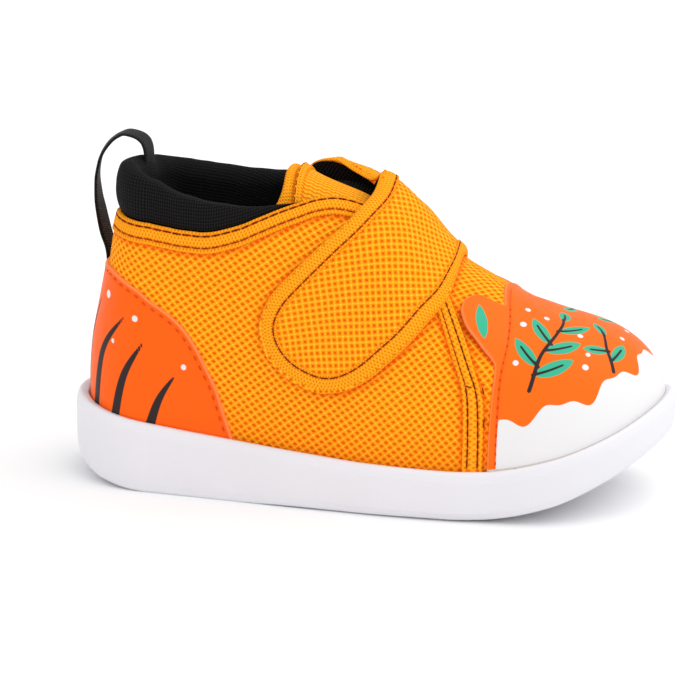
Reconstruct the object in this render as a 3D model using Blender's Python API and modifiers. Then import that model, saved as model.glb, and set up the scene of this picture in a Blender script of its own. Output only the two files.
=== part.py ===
"""A toddler's squeaky shoe for the right foot, in the pieces that a shoemaker puts together.

Sizes are in millimetres and become metres where a mesh is made. +X runs to the toe, +Y to the inner
(medial) side and +Z up; the origin is on the floor under the middle of the sole.

A place on the shoe is (round, arch). round is 0 at the middle of the heel, 1 where the heel's curve meets
the side, 2 where the side meets the toe's curve and 3 at the tip of the toe, negative on the outer
(lateral) side and positive on the inner one. arch is 0 degrees at the feather line, where the upper meets
the sole, and 90 degrees on the ridge over the foot.
"""
import bmesh
import bpy
import numpy as np

for old in list(bpy.data.objects):
    bpy.data.objects.remove(old, do_unlink=True)

SHOE = "squeaky_shoe"
bpy.context.scene.collection.children.link(bpy.data.collections.new(SHOE))

MM = 0.001

# Driving sizes
LENGTH = 146.0
HEEL_PIVOT = -49.0
TOE_PIVOT = 38.0
TOE_SQUARENESS = 2.15
TOE_SWING = 2.5
FEATHER_INSET = 3.0
CUP_DEPTH = 4.6
GAP = 0.35
UPPER_WALL = 2.2
OVERLAY = 0.9
INSOLE_THICKNESS = 3.0
INSOLE_TOP = 20.0
INSOLE_TAPER = 0.6
TONGUE_THICKNESS = 2.2
TONGUE_ROLL_LENGTH = 4.4
TONGUE_ROLL_THICKNESS = 3.2
STRAP_THICKNESS = 1.8
WEBBING_WIDTH = 8.0
WEBBING_THICKNESS = 1.0
OVERLAY_LIFT = GAP + OVERLAY
TONGUE_LIFT = -(UPPER_WALL + 2 * GAP)

# Fineness of the meshes
HEEL_STEPS = 6
SIDE_STEPS = 22
TOE_STEPS = 8
MERGE = 0.02
SHARP_ANGLE = 40.0


def table(columns, *rows):
    """A short table as a dict of named columns, with one row for each section."""
    return dict(zip(columns.split(), np.array(rows, dtype=float).T))


# Half widths of the sole and the line that the ridge follows
PLAN = table("x lateral medial spine",
             (-49, 24.2, 24.2, 0.0),
             (-30, 26.2, 24.6, 0.0),
             (-8, 28.8, 25.4, 0.2),
             (12, 30.8, 28.2, 0.5),
             (26, 31.2, 30.6, 0.8),
             (38, 30.4, 31.2, 1.0))

# Heights of the cup's rim and of the tread: heel curve, low arch at the waist, toe spring
SOLE = table("x rim tread",
             (-73, 20.4, 5.0),
             (-61, 18.4, 1.2),
             (-48, 16.7, 0.0),
             (-28, 14.8, 0.0),
             (-11, 13.4, 0.4),
             (6, 12.3, 0.0),
             (24, 11.9, 0.0),
             (33, 12.2, 0.4),
             (48, 15.1, 3.6),
             (61, 19.8, 9.4),
             (73, 26.0, 16.5))

# The sole's side wall from the tread round the rim to the floor of the cup: how far inside the outline,
# and how high above the tread or the rim, whichever the share gives
SOLE_WALL = table("inset share rise",
                  (4.2, 0.0, 0.0),
                  (1.5, 0.0, 0.5),
                  (0.4, 0.0, 1.9),
                  (0.0, 0.55, 0.0),
                  (0.1, 1.0, -2.2),
                  (0.6, 1.0, -0.6),
                  (1.35, 1.0, 0.0),
                  (2.2, 1.0, -0.1),
                  (2.65, 1.0, -0.7),
                  (2.65, 1.0, -CUP_DEPTH))

# Height of the ridge of the last, and the power of the super-ellipse that its sections follow
LAST = table("x ridge power",
             (-60, 112.0, 2.7),
             (-45, 106.0, 2.7),
             (-32, 93.0, 2.6),
             (-20, 82.0, 2.4),
             (-12, 77.2, 2.3),
             (0.5, 72.3, 2.2),
             (9, 66.8, 2.2),
             (16, 60.1, 2.15),
             (22.6, 55.3, 2.1),
             (30, 51.2, 2.05),
             (38, 47.0, 2.05),
             (48, 43.8, 2.25),
             (60, 41.4, 2.5),
             (73, 39.5, 2.6))

# How far the back of the heel leans over the foot
HEEL_BACK = table("z lean",
                  (0, 1.0),
                  (24, 1.4),
                  (32, 2.0),
                  (45, 4.6),
                  (55, 6.8),
                  (65, 8.3),
                  (80, 8.8))

# Top edge of the upper from the heel to the closed end of the throat, the binding's width below it in
# degrees, the padded collar's height above it on each side and the thickness of its pad
TOPLINE = table("round arch binding lateral_rise medial_rise pad",
                (0.0, 24.2, 4.0, 11.9, 11.9, 6.0),
                (0.6, 25.2, 4.0, 11.0, 9.8, 6.2),
                (1.0, 26.4, 3.9, 9.9, 9.3, 6.0),
                (1.06, 27.2, 4.0, 8.9, 9.5, 5.7),
                (1.13, 30.2, 4.4, 7.4, 9.5, 5.3),
                (1.19, 34.4, 5.3, 5.8, 8.8, 4.9),
                (1.25, 40.2, 6.6, 4.2, 7.4, 4.5),
                (1.30, 46.6, 8.4, 2.9, 6.0, 4.1),
                (1.35, 53.2, 10.2, 2.0, 4.4, 3.6),
                (1.40, 59.8, 11.6, 1.4, 2.8, 3.0),
                (1.45, 66.2, 11.4, 1.2, 1.2, 2.6),
                (1.50, 70.4, 11.0, 1.2, 1.2, 2.6),
                (1.56, 72.4, 9.0, 1.2, 1.2, 2.6),
                (1.66, 74.0, 8.0, 1.2, 1.2, 2.6),
                (1.72, 80.0, 8.0, 1.2, 1.2, 2.6),
                (1.76, 90.0, 8.0, 1.2, 1.2, 2.6))
BINDING_END = 1.60
COLLAR_END = 1.38

# Section of the collar: out from the upper's face, as a share of the pad's thickness past a fixed part, and
# up from the topline, as a share of the collar's rise past a fixed part
COLLAR_SECTION = table("out out_pad up up_rise",
                       (-2.75, 0.0, -9.0, 0.0),
                       (-2.75, 0.0, -0.4, 0.0),
                       (-2.3, 0.0, 0.8, 0.0),
                       (-0.5, 0.0, 0.8, 0.03),
                       (-0.6, 0.02, 0.4, 0.28),
                       (-0.7, 0.02, 0.2, 0.58),
                       (0.0, -0.12, 0.1, 0.86),
                       (0.0, -0.46, 0.0, 1.0),
                       (0.0, -0.80, 0.1, 0.86),
                       (-0.2, -0.98, 0.2, 0.55),
                       (-0.4, -0.97, 0.0, 0.1),
                       (-1.4, -0.66, -5.0, 0.0),
                       (-2.75, -0.18, -9.0, 0.0))
OVER_WALL, INNER_SHOULDER = 2, 9

# Top edge of the heel counter, from the point at the back to its foot on the side
COUNTER = table("round arch",
                (0.0, 17.7),
                (0.3, 17.6),
                (0.58, 17.2),
                (0.92, 15.4),
                (1.055, 13.4),
                (1.10, 12.4),
                (1.135, 11.1),
                (1.17, 8.8),
                (1.20, 6.6),
                (1.222, 4.6),
                (1.235, 3.4))

# Rear edge of the toe cap, with the rounded tab that reaches back over the vamp
CAP_EDGE = table("arch round",
                 (0, 1.980),
                 (16, 1.979),
                 (30, 1.977),
                 (40, 1.972),
                 (46, 1.952),
                 (48.5, 1.905),
                 (51.5, 1.876),
                 (57, 1.864),
                 (63, 1.870),
                 (68, 1.893),
                 (71, 1.932),
                 (75, 1.948),
                 (90, 1.930))
CAP_ARCHES = (0, 10, 18, 26, 34, 40, 44, 46.5, 49, 52, 57, 62, 66, 69, 72, 76, 83, 90)

# Folded front edge of each quarter, from the sole up to the strap
QUARTER_EDGE = table("arch rear front",
                     (3, 1.891, 1.937),
                     (14, 1.879, 1.933),
                     (26, 1.867, 1.924),
                     (38, 1.847, 1.905),
                     (47, 1.825, 1.868),
                     (53, 1.806, 1.846))

# The strap from its sewn end on the inner quarter to the rounded free end on the outer one: where its rear
# and front edges lie and how far its underside stands off the upper. turn is the arch counted from the ridge.
STRAP = table("rear_x rear_turn rear_lift front_x front_turn front_lift",
              (-21.5, 60.0, 0.5, 12.0, 60.0, 0.5),
              (-22.3, 45.0, 1.9, 15.5, 46.0, 0.5),
              (-21.0, 35.0, 3.2, 18.0, 30.0, 0.5),
              (-14.5, 26.0, 4.0, 19.8, 20.0, 0.5),
              (-7.0, 16.0, 2.4, 20.8, 10.0, 0.4),
              (0.6, 0.0, 1.8, 21.6, -2.0, 0.4),
              (1.5, -13.0, 1.9, 22.4, -14.0, 0.4),
              (-1.7, -28.2, 2.0, 22.2, -29.0, 0.4),
              (-7.8, -40.6, 1.3, 18.7, -44.0, 0.4),
              (-15.0, -53.1, 0.8, 12.0, -60.3, 0.4),
              (-19.7, -61.4, 0.6, 5.1, -69.9, 0.4),
              (-21.7, -68.0, 0.5, -1.5, -74.3, 0.4),
              (-19.7, -72.4, 0.5, -7.6, -75.7, 0.4),
              (-15.0, -75.0, 0.5, -15.0, -75.0, 0.5))

# Half width of the tongue along its length, as degrees from the ridge
TONGUE = table("x turn",
               (-13.2, 30.0),
               (-8, 29.0),
               (2, 26.0),
               (14, 22.0))

# Route of the pull loop's middle line in the plane of symmetry, and the webbing's twist about the upright
LOOP = table("x z yaw",
             (-63.4, 57.0, -6),
             (-65.0, 60.2, -4),
             (-66.8, 64.8, 4),
             (-67.2, 70.5, 8),
             (-65.9, 75.6, 6),
             (-62.8, 80.2, 2),
             (-59.2, 82.0, 0),
             (-55.9, 81.0, 0),
             (-53.8, 78.2, 0),
             (-53.2, 74.4, 0))


def smooth(at, knots, values):
    """Monotone cubic curve through the knots, level at every turning point."""
    step = np.diff(knots)
    rate = np.diff(values) / step
    slope = np.zeros_like(values)
    slope[0], slope[-1] = rate[0], rate[-1]
    same = rate[:-1] * rate[1:] > 0
    before = np.where(same, rate[:-1], 1.0)
    after = np.where(same, rate[1:], 1.0)
    near = 2 * step[1:] + step[:-1]
    far = step[1:] + 2 * step[:-1]
    slope[1:-1] = np.where(same, (near + far) / (near / before + far / after), 0.0)
    at = np.clip(at, knots[0], knots[-1])
    i = np.clip(np.searchsorted(knots, at) - 1, 0, len(step) - 1)
    t = (at - knots[i]) / step[i]
    ends = values[i] * (1 + 2 * t) * (1 - t) ** 2 + values[i + 1] * t * t * (3 - 2 * t)
    return ends + step[i] * (slope[i] * t * (1 - t) ** 2 + slope[i + 1] * t * t * (t - 1))


def read(rows, column, at):
    """A table's column at any value of its first column."""
    return smooth(at, next(iter(rows.values())), rows[column])


def unit(vectors):
    return vectors / np.maximum(np.linalg.norm(vectors, axis=-1, keepdims=True), 1e-9)


def sole_edge(around):
    """The sole's outline, the point of the spine behind it and the share of heel curve at that place."""
    side = np.where(around < 0, -1.0, 1.0)
    place = np.abs(around)
    heel = np.clip(1 - place, 0, 1) * np.pi / 2
    toe = np.clip(place - 2, 0, 1) * np.pi / 2
    x = HEEL_PIVOT + (TOE_PIVOT - HEEL_PIVOT) * np.clip(place - 1, 0, 1)
    spine = read(PLAN, "spine", x)
    half = np.where(side < 0, read(PLAN, "lateral", x), read(PLAN, "medial", x)) - side * spine
    back = np.sin(heel)
    front = np.sin(toe) ** (2 / TOE_SQUARENESS)
    across = np.cos(heel) * np.cos(toe).clip(0) ** (2 / TOE_SQUARENESS)
    edge_x = x - (LENGTH / 2 + HEEL_PIVOT) * back + (LENGTH / 2 - TOE_PIVOT) * front
    edge_y = spine + side * half * across + TOE_SWING * front ** 2
    return np.stack([edge_x, edge_y], -1), np.stack([x, spine], -1), back


def inset_edge(around, inset):
    """The sole's outline moved inwards, with the spine point and the share of heel curve."""
    nudge = 1e-4
    edge, spine, back = sole_edge(around)
    near_tip = np.clip(around, -3 + nudge, 3 - nudge)
    along = sole_edge(near_tip + nudge)[0] - sole_edge(near_tip - nudge)[0]
    inward = unit(np.stack([-along[..., 1], along[..., 0]], -1))
    facing = np.sign(np.sum(inward * (spine - edge), -1, keepdims=True))
    return edge + inward * facing * np.asarray(inset)[..., None], spine, back


def last_surface(around, arch):
    """The outer face of the upper: a super-ellipse from the feather line up to the ridge."""
    foot, spine, back = inset_edge(around, FEATHER_INSET)
    angle = np.radians(np.clip(arch, 0, 90))
    base = read(SOLE, "rim", foot[..., 0]) - CUP_DEPTH + GAP
    power = read(LAST, "power", (spine[..., 0] + foot[..., 0]) / 2)
    inward = 1 - np.cos(angle).clip(0) ** (2 / power)
    flat = foot + (spine - foot) * inward[..., None]
    z = base + (read(LAST, "ridge", flat[..., 0]) - base) * np.sin(angle) ** (2 / power)
    lean = read(HEEL_BACK, "lean", z) * back ** 2
    flat = flat + unit(spine - foot) * lean[..., None]
    return np.concatenate([flat, z[..., None]], -1)


def skin(around, arch, lift=0.0):
    """A point of the upper's outer face, moved out along its normal by the lift."""
    around, arch, lift = np.broadcast_arrays(*(np.asarray(v, float) for v in (around, arch, lift)))
    turn, tilt, step = 1e-4, 0.1, 0.5
    near = np.clip(around, -3 + 2 * turn, 3 - 2 * turn)
    low = np.clip(arch, 0.5, 89.5)
    by_arch = last_surface(near, low + tilt) - last_surface(near, low - tilt)
    by_round = last_surface(near + turn, low) - last_surface(near - turn, low)
    point = last_surface(around, arch)
    x = point[..., 0]
    slope = (read(LAST, "ridge", x + step) - read(LAST, "ridge", x - step)) / (2 * step)
    ridge_normal = np.stack([-slope, np.zeros_like(slope), np.ones_like(slope)], -1)
    normal = np.where((arch >= 90)[..., None], ridge_normal, np.cross(by_arch, by_round))
    return point + unit(normal) * lift[..., None]


def arch_at(around, height):
    """The arch at which the upper's face reaches a height."""
    halvings = 30
    low, high = np.zeros_like(height), np.full_like(height, 90.0)
    for _ in range(halvings):
        middle = (low + high) / 2
        below = last_surface(around, middle)[..., 2] < height
        low, high = np.where(below, middle, low), np.where(below, high, middle)
    return low


def above_rim(around):
    """The arch just clear of the cup's rim, where overlays end."""
    edge = inset_edge(around, FEATHER_INSET)[0]
    return arch_at(around, read(SOLE, "rim", edge[..., 0]) + GAP)


def round_of(x):
    return 1 + (np.asarray(x, float) - HEEL_PIVOT) / (TOE_PIVOT - HEEL_PIVOT)


def both_sides(places):
    """Stations from the tip of the toe down the outer side, round the heel and up the inner side."""
    return np.concatenate([-places[::-1], places[1:]])


PLACES = np.concatenate([np.linspace(0, 1, HEEL_STEPS + 1),
                         np.linspace(1, 2, SIDE_STEPS + 1)[1:],
                         np.linspace(2, 3, TOE_STEPS + 1)[1:]])
RING = both_sides(PLACES)


def finish(name, colour, roughness):
    """A Principled material in one colour."""
    material = bpy.data.materials.new(name)
    material.use_nodes = True
    shader = material.node_tree.nodes["Principled BSDF"]
    shader.inputs["Base Color"].default_value = (*colour, 1.0)
    shader.inputs["Roughness"].default_value = roughness
    shader.inputs["Metallic"].default_value = 0.0
    return material


def bent_grid(name, points, material):
    """A grid bent so that its corners lie at points[row, column], with meeting edges welded."""
    rows, columns = points.shape[:2]
    mesh = bpy.data.meshes.new(name)
    shape = bmesh.new()
    bmesh.ops.create_grid(shape, x_segments=rows - 1, y_segments=columns - 1, size=0.5)
    for vertex in shape.verts:
        row = round((vertex.co.x + 0.5) * (rows - 1))
        column = round((vertex.co.y + 0.5) * (columns - 1))
        vertex.co = points[row, column] * MM
    bmesh.ops.remove_doubles(shape, verts=shape.verts, dist=MERGE * MM)
    shape.to_mesh(mesh)
    shape.free()
    mesh.materials.append(material)
    mesh.shade_smooth()
    mesh.set_sharp_from_angle(angle=np.radians(SHARP_ANGLE))
    piece = bpy.data.objects.new(name, mesh)
    bpy.data.collections[SHOE].objects.link(piece)
    return piece


def sheet(name, points, thickness, material):
    """A shell of even thickness behind the face that the points give."""
    piece = bent_grid(name, points, material)
    solidify = piece.modifiers.new("thickness", "SOLIDIFY")
    solidify.thickness = thickness * MM
    solidify.offset = -1.0
    solidify.use_even_offset = True
    return piece


def body(name, points, material):
    """A closed solid from a grid whose edges meet."""
    piece = bent_grid(name, points, material)
    shape = bmesh.new()
    shape.from_mesh(piece.data)
    bmesh.ops.recalc_face_normals(shape, faces=shape.faces)
    shape.to_mesh(piece.data)
    shape.free()
    return piece


def level(around, inset, share, height):
    """A ring of the sole: inset from the outline, then a share of the way to the spine, at height(x)."""
    edge, spine, _ = inset_edge(around, inset)
    flat = edge + (spine - edge) * share
    return np.concatenate([flat, height(flat[..., 0])[..., None]], -1)


def tread(x):
    return read(SOLE, "tread", x)


def cup_floor(x):
    return read(SOLE, "rim", x) - CUP_DEPTH


def outsole():
    """Moulded cup: tread, rounded side wall, rim and the floor that the upper stands on."""
    spokes = np.linspace(1, 0, 4)[:-1]
    rings = [level(RING, SOLE_WALL["inset"][0], share, tread) for share in spokes]
    for inset, share, rise in zip(*SOLE_WALL.values()):
        def height(x, share=share, rise=rise):
            return tread(x) + (read(SOLE, "rim", x) - tread(x)) * share + rise
        rings.append(level(RING, inset, 0.0, height))
    rings += [level(RING, SOLE_WALL["inset"][-1], share, cup_floor) for share in spokes[::-1]]
    return body("outsole", np.array(rings), finish("white_sole", (0.86, 0.85, 0.88), 0.45))


def insole():
    """Sock on the cup's floor, inside the upper's wall."""
    heel_lean = read(HEEL_BACK, "lean", INSOLE_TOP) * sole_edge(RING)[2] ** 2
    inset = FEATHER_INSET + UPPER_WALL + GAP + heel_lean
    top_inset = inset + INSOLE_TAPER
    spokes = np.linspace(1, 0, 3)

    def under(x):
        return cup_floor(x) + GAP

    def over(x):
        return under(x) + INSOLE_THICKNESS
    rings = [level(RING, inset, share, under) for share in spokes]
    rings += [level(RING, top_inset, share, over) for share in spokes[::-1]]
    return body("insole", np.array(rings), finish("sock_cloth", (0.03, 0.03, 0.03), 0.9))


def top_arch(around):
    return read(TOPLINE, "arch", np.abs(around))


def upper():
    """Vamp and quarters as one lasted wall, open underneath, at the collar and down the throat."""
    rows = 11
    share = np.linspace(0, 1, rows)[:, None]
    return sheet("upper", skin(RING, share * top_arch(RING)), UPPER_WALL,
                 finish("orange_mesh", (1.0, 0.33, 0.02), 0.75))


def toe_cap():
    """Coated cap over the toe, its rear edge shaped into a rounded tab on each side."""
    columns = 12
    share = np.linspace(0, 1, columns + 1)
    rows = []
    for arch in CAP_ARCHES:
        edge = read(CAP_EDGE, "round", arch)
        places = edge + (3 - edge) * share
        around = np.concatenate([-places, places[::-1][1:]])
        rows.append(skin(around, np.maximum(arch, above_rim(around)), OVERLAY_LIFT))
    points = np.array(rows)[:, ::-1]
    return sheet("toe_cap", points, OVERLAY, finish("coated_toe", (1.0, 0.18, 0.02), 0.4))


def heel_counter():
    """Coated cover round the heel, highest at the back."""
    rows = 8
    least_height = 1.0
    on_side = COUNTER["round"] > 1
    around = both_sides(np.concatenate([PLACES[PLACES <= 1], COUNTER["round"][on_side]]))
    low = above_rim(around)
    high = np.maximum(read(COUNTER, "arch", np.abs(around)), low + least_height)
    share = np.linspace(0, 1, rows)[:, None]
    points = skin(around, low + (high - low) * share, OVERLAY_LIFT)
    return sheet("heel_counter", points, OVERLAY, finish("coated_heel", (1.0, 0.14, 0.01), 0.4))


def topline_binding():
    """Ribbed tape along the upper's top edge, from under the strap round the heel and back."""
    around = both_sides(PLACES[PLACES <= BINDING_END])
    drop = read(TOPLINE, "binding", np.abs(around))
    rows, below_edge = 3, 0.2
    share = np.linspace(1, 0, rows)[:, None]
    points = skin(around, top_arch(around) - below_edge - drop * share, OVERLAY_LIFT)
    return sheet("topline_binding", points, OVERLAY, finish("orange_tape", (1.0, 0.30, 0.03), 0.8))


def quarter_edge(name, side):
    """Folded tape on a quarter's front edge, from the sole up to the strap."""
    rows, columns = 10, 3
    arches = np.linspace(QUARTER_EDGE["arch"][0], QUARTER_EDGE["arch"][-1], rows)
    rear = read(QUARTER_EDGE, "rear", arches)
    front = read(QUARTER_EDGE, "front", arches)
    share = np.linspace(0, 1, columns)
    around = side * (rear[:, None] + (front - rear)[:, None] * share)
    around = np.sort(around, axis=1)
    points = skin(around, np.maximum(arches[:, None], above_rim(around)), OVERLAY_LIFT)
    return sheet(name, points, OVERLAY, finish(name + "_tape", (1.0, 0.30, 0.03), 0.8))


def collar():
    """Padded knit roll sewn inside the topline and rising above it, thinning out towards the throat."""
    around = both_sides(PLACES[PLACES <= COLLAR_END])
    top = top_arch(around)
    climb = skin(around, top + 1.0) - skin(around, top)
    degrees_per_mm = 1 / np.linalg.norm(climb, axis=-1)
    pad = read(TOPLINE, "pad", np.abs(around))
    rise = np.where(around < 0, read(TOPLINE, "lateral_rise", -around), read(TOPLINE, "medial_rise", around))
    rows = []
    for out, out_pad, up, up_rise in zip(*COLLAR_SECTION.values()):
        height = up + up_rise * rise
        arch = top + np.minimum(height, 0) * degrees_per_mm
        face = skin(around, arch, out + out_pad * pad)
        rows.append(face + unit(climb) * np.maximum(height, 0)[:, None])
    rows.append(rows[0])
    points = np.array(rows)
    hub = (points[OVER_WALL] + points[INNER_SHOULDER]) / 2
    points = np.concatenate([np.broadcast_to(hub[:1], points[:, :1].shape), points,
                             np.broadcast_to(hub[-1:], points[:, :1].shape)], axis=1)
    return body("collar", points, finish("black_knit", (0.012, 0.011, 0.012), 0.85))


def over_ridge(x, turn, lift):
    """A point given by its turn from the ridge, negative on the outer side."""
    return skin(np.where(turn < 0, -1.0, 1.0) * round_of(x), 90 - np.abs(turn), lift)


def tongue():
    """Padded tongue under the throat's edges."""
    along, across = 10, 9
    x = np.linspace(TONGUE["x"][0], TONGUE["x"][-1], along)[:, None]
    turn = read(TONGUE, "turn", x) * np.linspace(-1, 1, across)
    points = over_ridge(np.broadcast_to(x, turn.shape), turn, TONGUE_LIFT)
    return sheet("tongue", points, TONGUE_THICKNESS, finish("orange_tongue", (1.0, 0.31, 0.02), 0.8))


def tongue_binding():
    """Folded tape that rolls over the tongue's free end, as a flat tube behind it."""
    across, around_tube = 11, 8
    middle_x = TONGUE["x"][0] - GAP - TONGUE_ROLL_LENGTH / 2
    middle_lift = TONGUE_LIFT - TONGUE_THICKNESS / 2
    turn = TONGUE["turn"][0] * np.linspace(-1, 1, across)
    rows = []
    for angle in np.linspace(0, 2 * np.pi, around_tube + 1):
        x = np.full(across, middle_x + TONGUE_ROLL_LENGTH / 2 * np.cos(angle))
        rows.append(over_ridge(x, turn, middle_lift + TONGUE_ROLL_THICKNESS / 2 * np.sin(angle)))
    points = np.array(rows)
    middle = points[:-1].mean(axis=0)
    points[:, 0] = middle[0]
    points[:, -1] = middle[-1]
    return body("tongue_binding", points, finish("orange_fold", (1.0, 0.30, 0.03), 0.8))


def strap():
    """Strap that grows from the inner quarter, crosses the tongue and closes on the outer quarter."""
    along, across = 30, 9
    section = np.arange(len(STRAP["rear_x"]), dtype=float)
    at = np.linspace(0, section[-1], along)
    edge = {column: smooth(at, section, values)[:, None] for column, values in STRAP.items()}
    share = np.linspace(0, 1, across)
    x = edge["rear_x"] + (edge["front_x"] - edge["rear_x"]) * share
    turn = edge["rear_turn"] + (edge["front_turn"] - edge["rear_turn"]) * share
    lift = edge["rear_lift"] + (edge["front_lift"] - edge["rear_lift"]) * share
    points = over_ridge(x, turn, lift + STRAP_THICKNESS)
    return sheet("strap", points, STRAP_THICKNESS, finish("orange_strap", (1.0, 0.32, 0.02), 0.75))


def pull_loop():
    """Webbing loop from the counter's point over to the inside of the collar."""
    along = 24
    station = np.arange(len(LOOP["x"]), dtype=float)
    at = np.linspace(0, station[-1], along)
    x, z, yaw = (smooth(at, station, LOOP[column]) for column in ("x", "z", "yaw"))
    middle = np.stack([x, np.zeros_like(x), z], -1)
    across = np.stack([-np.sin(np.radians(yaw)), np.cos(np.radians(yaw)), np.zeros_like(x)], -1)
    points = np.stack([middle + across * half for half in (-WEBBING_WIDTH / 2, WEBBING_WIDTH / 2)], 1)
    piece = sheet("pull_loop", points, WEBBING_THICKNESS, finish("black_webbing", (0.02, 0.019, 0.02), 0.6))
    piece.modifiers["thickness"].offset = 0.0
    return piece


outsole()
insole()
upper()
toe_cap()
heel_counter()
topline_binding()
quarter_edge("quarter_edge_lateral", -1)
quarter_edge("quarter_edge_medial", 1)
collar()
tongue()
tongue_binding()
strap()
pull_loop()
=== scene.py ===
"""A toddler's squeaky shoe for the right foot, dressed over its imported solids.

Sizes are in millimetres and become metres where a mesh is made. A place on the shoe is (round, arch).
Round is 0 at the middle of the heel, 1 where the heel's curve meets the side, 2 where the side meets the
toe's curve and 3 at the tip of the toe, negative on the outer side. Arch is 0 degrees at the feather line,
where the upper meets the sole, and 90 degrees on the ridge over the foot.
"""
import math

import bmesh
import bpy
import numpy as np
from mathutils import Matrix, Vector


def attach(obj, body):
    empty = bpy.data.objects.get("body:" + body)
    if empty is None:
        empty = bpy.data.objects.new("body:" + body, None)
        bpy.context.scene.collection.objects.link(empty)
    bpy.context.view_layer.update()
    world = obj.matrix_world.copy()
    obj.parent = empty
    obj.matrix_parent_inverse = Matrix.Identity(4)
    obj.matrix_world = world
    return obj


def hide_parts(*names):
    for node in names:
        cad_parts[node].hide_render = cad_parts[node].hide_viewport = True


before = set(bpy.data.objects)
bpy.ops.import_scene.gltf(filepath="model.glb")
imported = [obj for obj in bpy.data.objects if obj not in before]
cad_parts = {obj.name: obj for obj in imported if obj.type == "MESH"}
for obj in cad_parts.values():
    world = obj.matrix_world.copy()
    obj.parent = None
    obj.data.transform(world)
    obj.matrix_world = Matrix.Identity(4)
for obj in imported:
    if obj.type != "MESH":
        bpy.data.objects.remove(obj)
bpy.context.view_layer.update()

# View. A long lens looks at the outer side from a little ahead of it and a little above, as for a shop
# picture. It has no tilt and no shift: the shoe sits off the middle because the lens is aimed beside it.
MM = 0.001
TURN_TO_TOE = math.radians(13.39)
LOOK_DOWN = math.radians(14.39)
LENS_AWAY = 788.7
LENS_LENGTH = 169.1
SENSOR_WIDTH = 36.0
AIM = Vector((0.0, 0.0, 35.0))
AIM_RIGHT = -4.9
AIM_UP = -2.8


def add(name, data):
    """An object in the scene that shows this data."""
    made = bpy.data.objects.new(name, data)
    bpy.context.scene.collection.objects.link(made)
    return made


lens_back = Vector((math.sin(TURN_TO_TOE) * math.cos(LOOK_DOWN),
                    -math.cos(TURN_TO_TOE) * math.cos(LOOK_DOWN),
                    math.sin(LOOK_DOWN)))
lens_right = Vector((math.cos(TURN_TO_TOE), math.sin(TURN_TO_TOE), 0.0))
lens_aim = AIM + lens_right * AIM_RIGHT + lens_back.cross(lens_right) * AIM_UP
camera = add("camera", bpy.data.cameras.new("camera"))
camera.data.lens = LENS_LENGTH
camera.data.sensor_width = SENSOR_WIDTH
camera.location = (lens_aim + lens_back * LENS_AWAY) * MM
camera.rotation_euler = (-lens_back).to_track_quat("-Z", "Y").to_euler()
bpy.context.scene.camera = camera

# Studio. A white floor, an even white surround, one very broad light overhead that leans towards the toe, and
# two soft boxes that give the coated pieces and the sole their gloss, so that shadows are pale and short.
SURROUND = 0.92
OVERHEAD = 1.1
OVERHEAD_WIDTH = math.radians(55)
OVERHEAD_LEAN = Vector((0.5, 0.06, 0.86))
LAMP_AIM = Vector((0.0, 0.0, 0.03))
FLOOR_HALF = 2.5
FLOOR_COLOUR = (0.93, 0.93, 0.935, 1.0)


def finish(name, roughness, shine):
    """A Principled material with the numbers that are the same all over, its node tree and its shader."""
    material = bpy.data.materials.new(name)
    material.use_nodes = True
    shader = material.node_tree.nodes["Principled BSDF"]
    shader.inputs["Roughness"].default_value = roughness
    shader.inputs["Specular IOR Level"].default_value = shine
    return material, material.node_tree, shader


bpy.context.scene.view_settings.view_transform = "Standard"
world = bpy.data.worlds.new("surround")
bpy.context.scene.world = world
world.use_nodes = True
surround = world.node_tree.nodes["Background"]
surround.inputs["Color"].default_value = (1.0, 1.0, 1.0, 1.0)
surround.inputs["Strength"].default_value = SURROUND

overhead = add("overhead", bpy.data.lights.new("overhead", "SUN"))
overhead.data.energy = OVERHEAD
overhead.data.angle = OVERHEAD_WIDTH
overhead.rotation_euler = OVERHEAD_LEAN.to_track_quat("Z", "Y").to_euler()

for lamp_name, place, size, power in (("front_box", (0.5, -0.8, 0.55), 0.45, 0.55),
                                      ("side_box", (-0.7, -0.5, 0.5), 0.45, 0.2)):
    lamp = add(lamp_name, bpy.data.lights.new(lamp_name, "AREA"))
    lamp.data.size = size
    lamp.data.energy = power
    lamp.location = place
    lamp.rotation_euler = (LAMP_AIM - Vector(place)).to_track_quat("-Z", "Y").to_euler()

floor_mesh = bpy.data.meshes.new("floor")
floor_grid = bmesh.new()
bmesh.ops.create_grid(floor_grid, x_segments=2, y_segments=2, size=FLOOR_HALF)
floor_grid.to_mesh(floor_mesh)
floor_grid.free()
floor_paper, _, shader = finish("floor_paper", roughness=0.8, shine=0.1)
shader.inputs["Base Color"].default_value = FLOOR_COLOUR
floor_mesh.materials.append(floor_paper)
floor = add("floor", floor_mesh)

# Outsole. A cup moulded in one piece from white foamed rubber: a satin side wall that swells a little, a soft
# rim that the upper is cemented into, a sprung toe and a tread of shallow waves under heel and forefoot.
LENGTH = 146.0
HEEL_PIVOT = -49.0
TOE_PIVOT = 38.0
TOE_SQUARENESS = 2.15
TOE_SWING = 2.5
CUP_DEPTH = 4.6


def table(columns, *rows):
    """A short table as a dict of named columns, with one row for each section."""
    return dict(zip(columns.split(), np.array(rows, dtype=float).T))


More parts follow.
